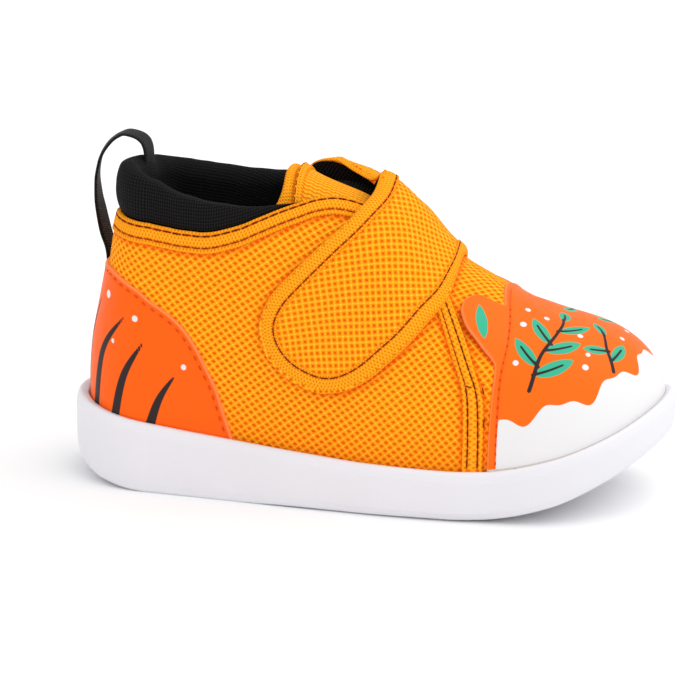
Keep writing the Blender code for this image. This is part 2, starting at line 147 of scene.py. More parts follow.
PLAN = table("x lateral medial spine",
             (-49, 24.2, 24.2, 0.0),
             (-30, 26.2, 24.6, 0.0),
             (-8, 28.8, 25.4, 0.2),
             (12, 30.8, 28.2, 0.5),
             (26, 31.2, 30.6, 0.8),
             (38, 30.4, 31.2, 1.0))
SOLE = table("x rim tread",
             (-73, 20.4, 5.0),
             (-61, 18.4, 1.2),
             (-48, 16.7, 0.0),
             (-28, 14.8, 0.0),
             (-11, 13.4, 0.4),
             (6, 12.3, 0.0),
             (24, 11.9, 0.0),
             (33, 12.2, 0.4),
             (48, 15.1, 3.6),
             (61, 19.8, 9.4),
             (73, 26.0, 16.5))
SOLE_WALL = table("inset share rise",
                  (4.2, 0.0, 0.0),
                  (1.5, 0.0, 0.5),
                  (0.4, 0.0, 1.9),
                  (0.0, 0.55, 0.0),
                  (0.1, 1.0, -2.2),
                  (0.6, 1.0, -0.6),
                  (1.35, 1.0, 0.0),
                  (2.2, 1.0, -0.1),
                  (2.65, 1.0, -0.7),
                  (2.65, 1.0, -CUP_DEPTH))
LOWER_ROWS = 3
LOWER_EDGE = table("x roundness",
                   (-73, 0.5),
                   (-55, 0.15),
                   (-12, 0.1),
                   (8, 0.5),
                   (30, 0.75),
                   (48, 0.6),
                   (73, 0.3))
HEEL_TUCK = 0.75
TUCK_FROM = 0.9
TUCK_FADE = 1.75
TREAD_DEPTH = 1.1
TREAD_PITCH = 5.2
TREAD_WAVE = 1.3
TREAD_WAVE_LENGTH = 15.0
GROOVE_FROM = 0.05
GROOVE_SLOPE = 0.85
PLAIN_BORDER = 0.16
BORDER_FADE = 0.06
WAIST_X = -10.0
WAIST_HALF = 8.0
WAIST_FADE = 3.0
WELD = 2e-6


def smooth(at, knots, values):
    """Monotone cubic curve through the knots, level at every turning point."""
    knots, values = np.asarray(knots, float), np.asarray(values, float)
    step = np.diff(knots)
    rate = np.diff(values) / step
    slope = np.zeros_like(values)
    slope[0], slope[-1] = rate[0], rate[-1]
    same = rate[:-1] * rate[1:] > 0
    before = np.where(same, rate[:-1], 1.0)
    after = np.where(same, rate[1:], 1.0)
    near = 2 * step[1:] + step[:-1]
    far = step[1:] + 2 * step[:-1]
    slope[1:-1] = np.where(same, (near + far) / (near / before + far / after), 0.0)
    at = np.clip(at, knots[0], knots[-1])
    i = np.clip(np.searchsorted(knots, at) - 1, 0, len(step) - 1)
    t = (at - knots[i]) / step[i]
    ends = values[i] * (1 + 2 * t) * (1 - t) ** 2 + values[i + 1] * t * t * (3 - 2 * t)
    return ends + step[i] * (slope[i] * t * (1 - t) ** 2 + slope[i + 1] * t * t * (t - 1))


def read(rows, column, at):
    """A table's column at any value of its first column."""
    return smooth(at, next(iter(rows.values())), rows[column])


def by_row(rows, at):
    """All of a table's columns at any place along its rows, which count from 0."""
    return {column: smooth(at, np.arange(len(values)), values) for column, values in rows.items()}


def unit(vectors):
    return vectors / np.maximum(np.linalg.norm(vectors, axis=-1, keepdims=True), 1e-9)


def sole_edge(around):
    """The sole's outline, the point of the spine behind it and the share of heel curve at that place."""
    side = np.where(around < 0, -1.0, 1.0)
    place = np.abs(around)
    heel = np.clip(1 - place, 0, 1) * np.pi / 2
    toe = np.clip(place - 2, 0, 1) * np.pi / 2
    x = HEEL_PIVOT + (TOE_PIVOT - HEEL_PIVOT) * np.clip(place - 1, 0, 1)
    spine = read(PLAN, "spine", x)
    half = np.where(side < 0, read(PLAN, "lateral", x), read(PLAN, "medial", x)) - side * spine
    heel_share = np.sin(heel)
    toe_share = np.sin(toe) ** (2 / TOE_SQUARENESS)
    across = np.cos(heel) * np.cos(toe).clip(0) ** (2 / TOE_SQUARENESS)
    edge_x = x - (LENGTH / 2 + HEEL_PIVOT) * heel_share + (LENGTH / 2 - TOE_PIVOT) * toe_share
    edge_y = spine + side * half * across + TOE_SWING * toe_share ** 2
    return np.stack([edge_x, edge_y], -1), np.stack([x, spine], -1), heel_share


def inset_edge(around, inset):
    """The sole's outline moved inwards, with the spine point and the share of heel curve."""
    nudge = 1e-4
    edge, spine, heel_share = sole_edge(around)
    near_tip = np.clip(around, -3 + nudge, 3 - nudge)
    along = sole_edge(near_tip + nudge)[0] - sole_edge(near_tip - nudge)[0]
    inward = unit(np.stack([-along[..., 1], along[..., 0]], -1))
    facing = np.sign(np.sum(inward * (spine - edge), -1, keepdims=True))
    return edge + inward * facing * np.asarray(inset)[..., None], spine, heel_share


def stations(heel, side, toe):
    """Places from the tip of the toe down the outer side, round the heel and back, with the tip once."""
    tip_crowding = 1.15
    places = np.concatenate([np.linspace(0, 1, heel + 1), np.linspace(1, 2, side + 1)[1:],
                             3 - np.linspace(1, 0, toe + 1)[1:] ** tip_crowding])
    return np.concatenate([-places[::-1], places[1:-1]])


def sole_ring(around, inset, share=0.0):
    """A flat ring of the sole: inset from the outline, then a share of the way to the spine."""
    edge, spine, _ = inset_edge(around, inset)
    return edge + (spine - edge) * share


def at_height(flat, height):
    return np.concatenate([flat, height[..., None]], -1)


def heel_tuck(around, inset):
    """How much further in the sole's rings lie round the heel, by their inset elsewhere."""
    return HEEL_TUCK * np.clip((inset - TUCK_FROM) / TUCK_FADE, 0, 1) * sole_edge(around)[2] ** 2


def tread_height(flat, share):
    """Height of the tread's face: waves sunk into it, inside a plain border and beside a plain waist."""
    x, y = flat[..., 0], flat[..., 1]
    sway = TREAD_WAVE * np.cos(2 * np.pi * y / TREAD_WAVE_LENGTH)
    groove = np.clip((np.cos(2 * np.pi * (x + sway) / TREAD_PITCH) - GROOVE_FROM) / GROOVE_SLOPE, 0, 1)
    groove = groove * groove * (3 - 2 * groove)
    inside = np.clip((share - PLAIN_BORDER) / BORDER_FADE, 0, 1)
    beside_waist = np.clip((np.abs(x - WAIST_X) - WAIST_HALF) / WAIST_FADE, 0, 1)
    return read(SOLE, "tread", x) + TREAD_DEPTH * groove * inside * beside_waist


def rim_height(points):
    return read(SOLE, "rim", points[..., 0])


def quads_of(index):
    """The faces between neighbours in a grid of point numbers."""
    return np.stack([index[:-1, :-1], index[1:, :-1], index[1:, 1:], index[:-1, 1:]], -1).reshape(-1, 4)


def shaped(name, points, *materials, ring=False, tube=False, closed=False, **layers):
    """A smooth piece on points[row, column], with named values kept at its corners. A ring joins its last
    column to its first, a tube its last row to its first, and a closed piece is made to face outwards."""
    index = np.arange(points.shape[0] * points.shape[1]).reshape(points.shape[:2])
    if tube:
        index = np.concatenate([index, index[:1]], axis=0)
    if ring:
        index = np.concatenate([index, index[:, :1]], axis=1)
    quads = quads_of(index)
    mesh = bpy.data.meshes.new(name)
    mesh.from_pydata((points.reshape(-1, 3) * MM).tolist(), [], quads.tolist())
    for layer_name, values in layers.items():
        vector = values.ndim == 3
        made = mesh.attributes.new(layer_name, "FLOAT_VECTOR" if vector else "FLOAT", "CORNER")
        corners = values.reshape(points.shape[0] * points.shape[1], -1)[quads.ravel()]
        made.data.foreach_set("vector" if vector else "value", corners.astype(np.float32).ravel())
    shape = bmesh.new()
    shape.from_mesh(mesh)
    bmesh.ops.remove_doubles(shape, verts=shape.verts, dist=WELD)
    if closed:
        bmesh.ops.recalc_face_normals(shape, faces=shape.faces)
    shape.to_mesh(mesh)
    shape.free()
    mesh.shade_smooth()
    for material in materials:
        mesh.materials.append(material)
    return add(name, mesh)


def fix(piece, node, stands_for=True):
    """Fixes a piece to the shoe's one body and, where it stands for a node, hides that node's solid."""
    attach(piece, "root")
    if stands_for:
        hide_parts(node)


def dye(red, green, blue):
    """A colour as the eye counts it, from 0 to 255, as amounts of light."""
    seen = np.array([red, green, blue]) / 255
    return (*np.where(seen > 0.04045, ((seen + 0.055) / 1.055) ** 2.4, seen / 12.92), 1.0)


def put(tree, value, socket):
    """Sets a socket to a plain number or colour, or links it to another socket."""
    if isinstance(value, bpy.types.NodeSocket):
        tree.links.new(value, socket)
    else:
        socket.default_value = value


def sums(tree, operation, *values):
    node = tree.nodes.new("ShaderNodeMath")
    node.operation = operation
    for value, socket in zip(values, node.inputs):
        put(tree, value, socket)
    return node.outputs[0]


def ease(tree, value, low, high, start=0.0, end=1.0):
    """A soft step from start to end as the value goes from low to high."""
    node = tree.nodes.new("ShaderNodeMapRange")
    node.interpolation_type = "SMOOTHSTEP"
    for name, number in zip(("Value", "From Min", "From Max", "To Min", "To Max"),
                            (value, low, high, start, end)):
        put(tree, number, node.inputs[name])
    return node.outputs[0]


def tint(tree, share, first, second):
    """A mix of two colours by a share."""
    node = tree.nodes.new("ShaderNodeMix")
    node.data_type = "RGBA"
    put(tree, share, node.inputs[0])
    put(tree, first, node.inputs[6])
    put(tree, second, node.inputs[7])
    return node.outputs[2]


def speckle(tree, per_metre, detail=3.0):
    """Fine noise through the solid."""
    node = tree.nodes.new("ShaderNodeTexNoise")
    node.inputs["Scale"].default_value = per_metre
    node.inputs["Detail"].default_value = detail
    tree.links.new(tree.nodes.new("ShaderNodeTexCoord").outputs["Object"], node.inputs["Vector"])
    return node.outputs["Fac"]


def raise_by(tree, shader, height, depth, strength=1.0):
    """Bump of a depth in millimetres, on top of any that the shader has."""
    node = tree.nodes.new("ShaderNodeBump")
    node.inputs["Strength"].default_value = strength
    node.inputs["Distance"].default_value = depth * MM
    tree.links.new(height, node.inputs["Height"])
    if shader.inputs["Normal"].is_linked:
        tree.links.new(shader.inputs["Normal"].links[0].from_socket, node.inputs["Normal"])
    tree.links.new(node.outputs["Normal"], shader.inputs["Normal"])


sole_rubber, tree, shader = finish("white_sole_rubber", roughness=0.46, shine=0.42)
cloud = speckle(tree, per_metre=55.0)
put(tree, tint(tree, cloud, dye(229, 228, 233), dye(224, 223, 228)), shader.inputs["Base Color"])
satin = ease(tree, speckle(tree, per_metre=900.0), low=0.3, high=0.7, start=0.42, end=0.52)
put(tree, satin, shader.inputs["Roughness"])
raise_by(tree, shader, speckle(tree, per_metre=2600.0, detail=2.0), depth=0.03, strength=0.5)

around = stations(heel=44, side=150, toe=50)
roundness = read(LOWER_EDGE, "roundness", sole_edge(around)[0][:, 0])
tread_inset = SOLE_WALL["inset"][0]
rings = []
for share in np.linspace(1, 0, 65)[:-1]:
    flat = sole_ring(around, tread_inset * roundness + heel_tuck(around, tread_inset), share)
    rings.append(at_height(flat, tread_height(flat, share)))
wall_place = np.linspace(0, len(SOLE_WALL["inset"]) - 1, 46)
for place, inset, share, rise in zip(wall_place, *by_row(SOLE_WALL, wall_place).values()):
    sharpened = inset * roundness if place < LOWER_ROWS else inset
    flat = sole_ring(around, sharpened + heel_tuck(around, inset))
    low = read(SOLE, "tread", flat[:, 0])
    rings.append(at_height(flat, low + (rim_height(flat) - low) * share + rise))
for share in np.linspace(0, 1, 6)[1:]:
    flat = sole_ring(around, SOLE_WALL["inset"][-1], share)
    rings.append(at_height(flat, rim_height(flat) - CUP_DEPTH))
fix(shaped("moulded_outsole", np.array(rings), sole_rubber, ring=True, closed=True), "outsole")

# Insole. A sock of black cloth over thin foam, cut to the floor of the cup and laid in it, so that its edge
# curls up slightly against the lining.
FEATHER_INSET = 3.0
GAP = 0.35
UPPER_WALL = 2.2
INSOLE_TOP = 20.0
HEEL_BACK = table("z lean",
                  (0, 1.0),
                  (24, 1.4),
                  (32, 2.0),
                  (45, 4.6),
                  (55, 6.8),
                  (65, 8.3),
                  (80, 8.8))
INSOLE_SECTION = table("share inset rise",
                       (1.0, 0.0, 0.0),
                       (0.5, 0.0, 0.0),
                       (0.0, 0.3, 0.0),
                       (0.0, 0.0, 0.6),
                       (0.0, 0.0, 2.4),
                       (0.0, 0.35, 2.95),
                       (0.0, 1.1, 3.0),
                       (0.06, 1.1, 2.75),
                       (0.2, 1.1, 2.5),
                       (0.45, 1.1, 2.4),
                       (0.7, 1.1, 2.4),
                       (1.0, 1.1, 2.4))


def layer(tree, name):
    """The three values that a mesh keeps at its corners under a name."""
    node = tree.nodes.new("ShaderNodeAttribute")
    node.attribute_name = name
    parts = tree.nodes.new("ShaderNodeSeparateXYZ")
    tree.links.new(node.outputs["Vector"], parts.inputs[0])
    return parts.outputs


def ripple(tree, value, pitch):
    """A cosine of a length in millimetres."""
    return sums(tree, "COSINE", sums(tree, "MULTIPLY_ADD", value, 2 * math.pi / pitch, 0.0))


def black_knit(name, rib, row, loop_share=0.35):
    """Fine black knit: close ribs one way and small loops the other, on the mesh's own cloth places."""
    knit, tree, shader = finish(name, roughness=0.85, shine=0.12)
    along, up, _ = layer(tree, "cloth")
    height = sums(tree, "MULTIPLY_ADD", ripple(tree, up, row), loop_share, ripple(tree, along, rib))
    lit = ease(tree, height, low=-1.0, high=1.2)
    put(tree, tint(tree, lit, dye(4, 4, 5), dye(30, 28, 29)), shader.inputs["Base Color"])
    raise_by(tree, shader, lit, depth=0.16)
    raise_by(tree, shader, speckle(tree, per_metre=4200.0), depth=0.05, strength=0.6)
    return knit


insole_around = stations(heel=16, side=44, toe=18)
heel_lean = read(HEEL_BACK, "lean", INSOLE_TOP) * sole_edge(insole_around)[2] ** 2
insole_inset = FEATHER_INSET + UPPER_WALL + GAP + heel_lean
rings = []
for share, inset, rise in zip(*INSOLE_SECTION.values()):
    flat = sole_ring(insole_around, insole_inset + inset, share)
    rings.append(at_height(flat, rim_height(flat) - CUP_DEPTH + GAP + rise))
rings = np.array(rings)
insole = shaped("cloth_insole", rings, black_knit("sock_cloth", rib=1.1, row=0.9),
                ring=True, closed=True, cloth=rings)
fix(insole, "insole")

# Upper. Vamp and quarters of open orange mesh over a thin backing and a black lining, pulled over a last and
# cemented into the cup. The mesh is a warp knit with staggered small holes through which deeper orange shows.
LAST = table("x ridge power",
             (-60, 112.0, 2.7),
             (-45, 106.0, 2.7),
             (-32, 93.0, 2.6),
             (-20, 82.0, 2.4),
             (-12, 77.2, 2.3),
             (0.5, 72.3, 2.2),
             (9, 66.8, 2.2),
             (16, 60.1, 2.15),
             (22.6, 55.3, 2.1),
             (30, 51.2, 2.05),
             (38, 46.3, 2.05),
             (48, 43.2, 2.4),
             (60, 42.2, 2.8),
             (73, 41.0, 2.9))
TOPLINE = table("round arch lateral_rise medial_rise pad",
                (0.0, 24.2, 12.3, 12.3, 6.0),
                (0.6, 25.1, 12.2, 9.4, 6.2),
                (1.0, 26.2, 10.6, 9.2, 6.0),
                (1.06, 27.0, 9.0, 9.4, 5.7),
                (1.13, 29.9, 8.0, 9.5, 5.3),
                (1.19, 34.1, 6.8, 8.8, 4.9),
                (1.25, 40.0, 4.8, 7.4, 4.5),
                (1.30, 46.5, 3.0, 6.0, 4.1),
                (1.35, 53.2, 1.6, 4.4, 3.6),
                (1.40, 59.8, 0.4, 2.8, 2.4),
                (1.45, 66.2, 1.2, 1.2, 2.6),
                (1.50, 70.4, 1.2, 1.2, 2.6),
                (1.56, 72.4, 1.2, 1.2, 2.6),
                (1.66, 74.0, 1.2, 1.2, 2.6),
                (1.72, 80.0, 1.2, 1.2, 2.6),
                (1.76, 90.0, 1.2, 1.2, 2.6))
LEAN_IN = 1.9
LEAN_BELOW = 7.0
LEAN_ABOVE = 5.0
LEAN_POWER = 1.5
SOFT_DENTS = table("x y z radius depth",
                   (6, -26, 34, 13, 0.35),
                   (-22, -26, 40, 14, 0.3),
                   (20, -27, 28, 7, -0.3),
                   (27, -18, 47, 6, -0.35),
                   (33, -8, 48, 7, 0.3),
                   (24, 20, 47, 7, -0.3),
                   (-34, -22, 52, 8, -0.25),
                   (4, 26, 34, 14, 0.3),
                   (-26, 24, 40, 12, 0.25))
NET_COLOURS = ((238, 84, 8), (255, 142, 4), (255, 206, 52))
KNIT_DRIFT = 0.36


def last_surface(around, arch):
    """The outer face of the upper: a super-ellipse from the feather line up to the ridge."""
    foot, spine, heel_share = inset_edge(around, FEATHER_INSET)
    angle = np.radians(np.clip(arch, 0, 90))
    base = rim_height(foot) - CUP_DEPTH + GAP
    power = read(LAST, "power", (spine[..., 0] + foot[..., 0]) / 2)
    inward = 1 - np.cos(angle).clip(0) ** (2 / power)
    flat = foot + (spine - foot) * inward[..., None]
    z = base + (read(LAST, "ridge", flat[..., 0]) - base) * np.sin(angle) ** (2 / power)
    lean = read(HEEL_BACK, "lean", z) * heel_share ** 2
    return at_height(flat + unit(spine - foot) * lean[..., None], z)


def skin(around, arch, lift=0.0):
    """A point of the upper's outer face, moved out along its normal by the lift."""
    around, arch, lift = np.broadcast_arrays(*(np.asarray(v, float) for v in (around, arch, lift)))
    turn, tilt, step = 1e-4, 0.1, 0.5
    near = np.clip(around, -3 + 2 * turn, 3 - 2 * turn)
    low = np.clip(arch, 0.5, 89.5)
    by_arch = last_surface(near, low + tilt) - last_surface(near, low - tilt)
    by_round = last_surface(near + turn, low) - last_surface(near - turn, low)
    point = last_surface(around, arch)
    x = point[..., 0]
    slope = (read(LAST, "ridge", x + step) - read(LAST, "ridge", x - step)) / (2 * step)
    ridge_normal = np.stack([-slope, np.zeros_like(slope), np.ones_like(slope)], -1)
    normal = np.where((arch >= 90)[..., None], ridge_normal, np.cross(by_arch, by_round))
    return point + unit(normal) * lift[..., None]


def top_arch(around):
    return read(TOPLINE, "arch", np.abs(around))


def degree_at(around, arch):
    """Length of one degree of arch in millimetres."""
    return np.linalg.norm(skin(around, arch) - skin(around, arch - 1.0), axis=-1)


def leaned_in(around, above):
    """How far the top of the heel leans in, by the height above the topline in millimetres."""
    reach = np.where(above < 0, LEAN_BELOW, LEAN_ABOVE)
    return LEAN_IN * sole_edge(around)[2] ** 2 * np.clip(1 - np.abs(above) / reach, 0, 1) ** LEAN_POWER


def run(points, axis):
    """Length along a grid's lines in millimetres, from their first point."""
    step = np.linalg.norm(np.diff(points, axis=axis), axis=-1)
    start = np.zeros_like(np.take(step, [0], axis=axis))
    return np.concatenate([start, np.cumsum(step, axis=axis)], axis=axis)


def in_cloth(along, up):
    """Places in the cloth for a grid, from its lengths along the cloth and up it."""
    along, up = np.broadcast_arrays(along, up)
    return np.stack([along, up, np.zeros(along.shape)], -1)


def cloth_on(points, row):
    """Places in the cloth of a grid: lengths along one of its rows, and up each of its columns."""
    return in_cloth(run(points, 1)[row], run(points, 0))


def value_of(tree, name):
    node = tree.nodes.new("ShaderNodeAttribute")
    node.attribute_name = name
    return node.outputs["Fac"]


def open_mesh(name, first, second, colours=NET_COLOURS, depth=0.3, rows=0.0):
    """Knitted net on the mesh's own cloth places: two sets of threads that cross, each given by its threads
    per millimetre along and up the cloth, and small holes between them, wider where level rows count for
    more. Colours are hole, ground and thread; a layer of painted shade tints them deeper orange and dims the
    threads, for the shade beside a raised edge and in a seam's dent."""
    knit, tree, shader = finish(name, roughness=0.8, shine=0.06)
    along, up, _ = layer(tree, "cloth")
    wander = speckle(tree, per_metre=330.0, detail=2.0)
    drift = sums(tree, "MULTIPLY_ADD", wander, KNIT_DRIFT, -KNIT_DRIFT / 2)
    along = sums(tree, "ADD", along, drift)
    up = sums(tree, "ADD", up, drift)
    counts = []
    for per_along, per_up in (first, second):
        counts.append(sums(tree, "MULTIPLY_ADD", up, per_up, sums(tree, "MULTIPLY", along, per_along)))
    waves = [ripple(tree, count, 1.0) for count in counts]
    level = ripple(tree, sums(tree, "ADD", *counts), 1.0)
    crossing = sums(tree, "MULTIPLY_ADD", level, rows, sums(tree, "ADD", *waves))
    hole = ease(tree, crossing, low=0.75 + 0.06 * rows, high=1.95 + 0.7 * rows)
    strands = [ease(tree, wave, low=-1.0, high=-0.2, start=0.42, end=0.0) for wave in waves]
    fray = ease(tree, speckle(tree, per_metre=900.0), low=0.25, high=0.75, start=0.7, end=1.15)
    thread = sums(tree, "MULTIPLY", sums(tree, "ADD", *strands), fray)
    colour = tint(tree, hole, dye(*colours[1]), dye(*colours[0]))
    cloud = ease(tree, speckle(tree, per_metre=40.0), low=0.3, high=0.7, end=0.18)
    colour = tint(tree, cloud, colour, dye(252, 146, 12))
    # Painted shade: the shade layer tints the cloth towards deep orange and dims its threads.
    shade = value_of(tree, "shade")
    colour = tint(tree, ease(tree, shade, low=0.0, high=1.0, end=0.85), colour, dye(242, 82, 4))
    lit = sums(tree, "MULTIPLY", thread, ease(tree, shade, low=0.0, high=1.0, start=1.0, end=0.45))
    put(tree, tint(tree, lit, colour, dye(*colours[2])), shader.inputs["Base Color"])
    relief = sums(tree, "MULTIPLY_ADD", thread, 0.5, sums(tree, "MULTIPLY", hole, -0.6))
    raise_by(tree, shader, relief, depth)
    return knit


def soft_dents(points):
    """Low hollows and swellings where the cloth is drawn over the last."""
    shift = np.zeros(points.shape[:2])
    for x, y, z, radius, depth in zip(*SOFT_DENTS.values()):
        away = np.linalg.norm(points - np.array([x, y, z]), axis=-1)
        shift += depth * np.exp(-(away / radius) ** 2)
    return shift


def thicken(piece, depth, lined=False):
    """Gives a sheet its thickness behind its face, with its second material at the back where it is lined."""
    wall = piece.modifiers.new("thickness", "SOLIDIFY")
    wall.thickness = depth * MM
    wall.offset = -1.0
    wall.material_offset = 1 if lined else 0
    return wall


upper_around = np.concatenate([stations(heel=40, side=130, toe=40), [3.0]])
upper_top = top_arch(upper_around)
upper_arch = np.linspace(0, 1, 84)[:, None] * upper_top
above = (upper_arch - upper_top) * degree_at(upper_around, upper_top)
dented = soft_dents(skin(upper_around, upper_arch)) - leaned_in(upper_around, above)
points = skin(upper_around, upper_arch, dented)
mesh_cloth = open_mesh("orange_mesh", (0.436, 0.548), (-0.494, 0.437), rows=0.8)
black_lining = black_knit("black_lining", rib=0.8, row=0.9)
upper = shaped("mesh_upper", points, mesh_cloth, black_lining, cloth=cloth_on(points, row=30))
upper_wall = thicken(upper, UPPER_WALL, lined=True)
upper_wall.use_even_offset = True
upper_wall.material_offset_rim = 1
fix(upper, "upper")

# Heel counter cover. Smooth coated sheet, thin, cut to a rounded wing on each side, its edge turned over a
# bead and stitched down. The print is a loose clump of dark reed blades with pale seeds, in inks that lie
# on the coat.
OVERLAY_LIFT = 0.9
SHEET_THICKNESS = 0.5
COUNTER = table("round arch",
                (0.0, 16.0),
                (0.3, 16.1),
                (0.58, 16.5),
                (0.92, 15.3),
                (1.055, 13.4),
                (1.10, 12.4),
                (1.13, 11.1),
                (1.165, 8.8),
                (1.193, 6.6),
                (1.217, 3.7),
                (1.240, 1.2),
                (1.243, 0.9))
COUNTER_LEAST = 0.1
ROWS_CROWDING = 1.5
SEAM_IN = 1.4
SEAM_SINK = 0.2
BELOW_RIM = -0.6
SEWN_ABOVE_RIM = 0.4
EDGE_ROUNDING = 0.45
BEAD_IN = 0.4
BEAD_WIDTH = 0.3
BEAD_RISE = 0.14
SEAM_DENT = 0.2
SEAM_DENT_WIDTH = 0.4
SHEET_SINK = 0.12
BARE = -9.0
BLADES = ((((-0.24, 0.7), (-0.28, 6.0), (-0.46, 11.6)), (1.3, 1.0, 0.3)),
          (((-0.48, 0.7), (-0.56, 5.4), (-0.80, 10.9)), (1.4, 1.1, 0.3)),
          (((-0.72, 0.7), (-0.80, 4.2), (-0.96, 8.6)), (1.3, 1.0, 0.3)),
          (((-1.00, 0.7), (-1.025, 2.8), (-1.07, 5.6)), (1.2, 0.9, 0.3)),
          (((-0.08, 0.7), (-0.02, 6.6), (0.06, 12.6)), (1.4, 1.1, 0.3)),
          (((0.14, 0.7), (0.22, 6.4), (0.34, 11.2)), (1.3, 1.0, 0.3)),
          (((0.40, 0.7), (0.54, 5.6), (0.76, 11.0)), (1.4, 1.1, 0.3)),
          (((0.66, 0.7), (0.78, 4.4), (0.95, 8.8)), (1.3, 1.0, 0.3)),
          (((1.00, 0.7), (1.025, 2.8), (1.065, 5.8)), (1.2, 0.9, 0.3)))
SEEDS = (((-0.14, 9.6), 0.9), ((-0.34, 13.6), 0.8), ((-0.62, 12.9), 1.0), ((-0.90, 11.4), 0.8),
         ((-0.70, 7.6), 0.6), ((0.20, 13.4), 0.8), ((0.52, 13.0), 0.9), ((0.90, 11.6), 0.8),
         ((-1.10, 7.4), 0.7), ((1.10, 7.6), 0.7))
DARK_INK = (50, 41, 41)
PALE_INK = (230, 229, 231)


def arch_at(around, height):
    """The arch at which the upper's face reaches a height."""
    halvings = 30
    low, high = np.zeros_like(height), np.full_like(height, 90.0)
    for _ in range(halvings):
        middle = (low + high) / 2
        below = last_surface(around, middle)[..., 2] < height
        low, high = np.where(below, middle, low), np.where(below, high, middle)
    return low


def rim_arch(around):
    """The arch a little below the cup's rim, where overlays end."""
    return arch_at(around, rim_height(inset_edge(around, FEATHER_INSET)[0]) + BELOW_RIM)


def heel_run(outer, inner):
    """Places from the outer side round the heel to the inner one, each side given as its end and steps."""
    heel_steps = 61
    halves = []
    for end, steps in (outer, inner):
        halves.append(np.concatenate([np.linspace(0, 1, heel_steps), np.linspace(1, end, steps)[1:]]))
    return np.concatenate([-halves[0][::-1], halves[1][1:]])


def pieces_of(line, points):
    """Each straight piece of a line in turn, as every point's share along it and distance from it."""
    for start, end in zip(line[:-1], line[1:]):
        piece = end - start
        share = np.clip((points - start) @ piece / max(piece @ piece, 1e-9), 0, 1)
        yield share, np.linalg.norm(points - start - share[..., None] * piece, axis=-1)


def gap_to(points, line):
    """Distance from each point of a grid to a line."""
    nearest = np.full(points.shape[:-1], np.inf)
    for _, gap in pieces_of(line, points):
        nearest = np.minimum(nearest, gap)
    return nearest


def along_line(at, far, line):
    """A line's points at given values of how far along it each is."""
    return np.stack([np.interp(at, far, column) for column in line.T], -1)


def evenly(line, step):
    """A line's points again at even steps, with how far along each is."""
    far = run(line[None], 1)[0]
    at = np.linspace(0, far[-1], max(2, int(round(far[-1] / step)) + 1))
    return along_line(at, far, line), at


def rounded(away, width):
    """A quarter of a round edge: 0 at the edge and 1 from the width on."""
    return np.sqrt(np.clip(1 - (1 - np.clip(away / width, 0, 1)) ** 2, 0, 1))


def turned_edge(away, from_seam):
    """Lift of coated sheet by the distances from its edge and its seam: a thin bead, a dent, else flat."""
    bead = BEAD_RISE * np.exp(-((away - BEAD_IN) / BEAD_WIDTH) ** 2)
    dent = SEAM_DENT * np.exp(-(from_seam / SEAM_DENT_WIDTH) ** 2)
    return (OVERLAY_LIFT + bead - dent) * rounded(away, EDGE_ROUNDING) - SHEET_SINK


def stroke(points, places, halves):
    """How far inside a brush stroke each point lies: through (round, arch) places, with half widths."""
    at = np.linspace(0, 1, 25)
    turns = np.linspace(0, 1, len(places))
    rounds, arches = zip(*places)
    line = skin(smooth(at, turns, rounds), smooth(at, turns, arches), OVERLAY_LIFT)
    half = smooth(at, np.linspace(0, 1, len(halves)), halves)
    inside = np.full(points.shape[:-1], BARE)
    for (share, gap), near, far in zip(pieces_of(line, points), half[:-1], half[1:]):
        inside = np.maximum(inside, near + (far - near) * share - gap)
    return inside


def printed(points, strokes):
    """How far inside any of some brush strokes each point lies, each stroke as its places and half widths."""
    return np.maximum.reduce([stroke(points, places, halves) for places, halves in strokes])


def spots(dots):
    """Round dots as strokes of no length."""
    return [((place, place), (half, half)) for place, half in dots]


def coated(name, ground, *inks_and_painted_shade):
    """Coated sheet over a very fine grain: a ground colour, a paler band along its turned edge painted as
    the highlight on its roll, and layers each given as (layer, colour): printed inks, and painted shade in a
    seam's dent where one is given.
    """
    sheet, tree, shader = finish(name, roughness=0.45, shine=0.1)
    cloud = ease(tree, speckle(tree, per_metre=60.0), low=0.3, high=0.7, end=0.5)
    colour = tint(tree, cloud, dye(*ground), dye(*(c * 0.965 for c in ground)))
    # Painted highlight: a paler band along the turned edge, for the light that its roll catches.
    edge = ease(tree, value_of(tree, "edge"), low=0.2, high=0.55, start=0.7, end=0.0)
    colour = tint(tree, edge, colour, dye(255, 156, 98))
    inked_or_shaded = 0.0
    # Layers are printed inks, save the toe cap's seam layer, which is painted shade in its dent.
    for layer_name, layer_colour in inks_and_painted_shade:
        share = ease(tree, value_of(tree, layer_name), low=-0.1, high=0.1)
        colour = tint(tree, share, colour, dye(*layer_colour))
        inked_or_shaded = sums(tree, "MAXIMUM", inked_or_shaded, share)
    put(tree, colour, shader.inputs["Base Color"])
    satin = ease(tree, speckle(tree, per_metre=700.0), low=0.3, high=0.7, start=0.4, end=0.5)
    put(tree, satin, shader.inputs["Roughness"])
    raise_by(tree, shader, inked_or_shaded, depth=0.03, strength=0.5)
    raise_by(tree, shader, speckle(tree, per_metre=2100.0, detail=2.0), depth=0.045, strength=0.55)
    return sheet


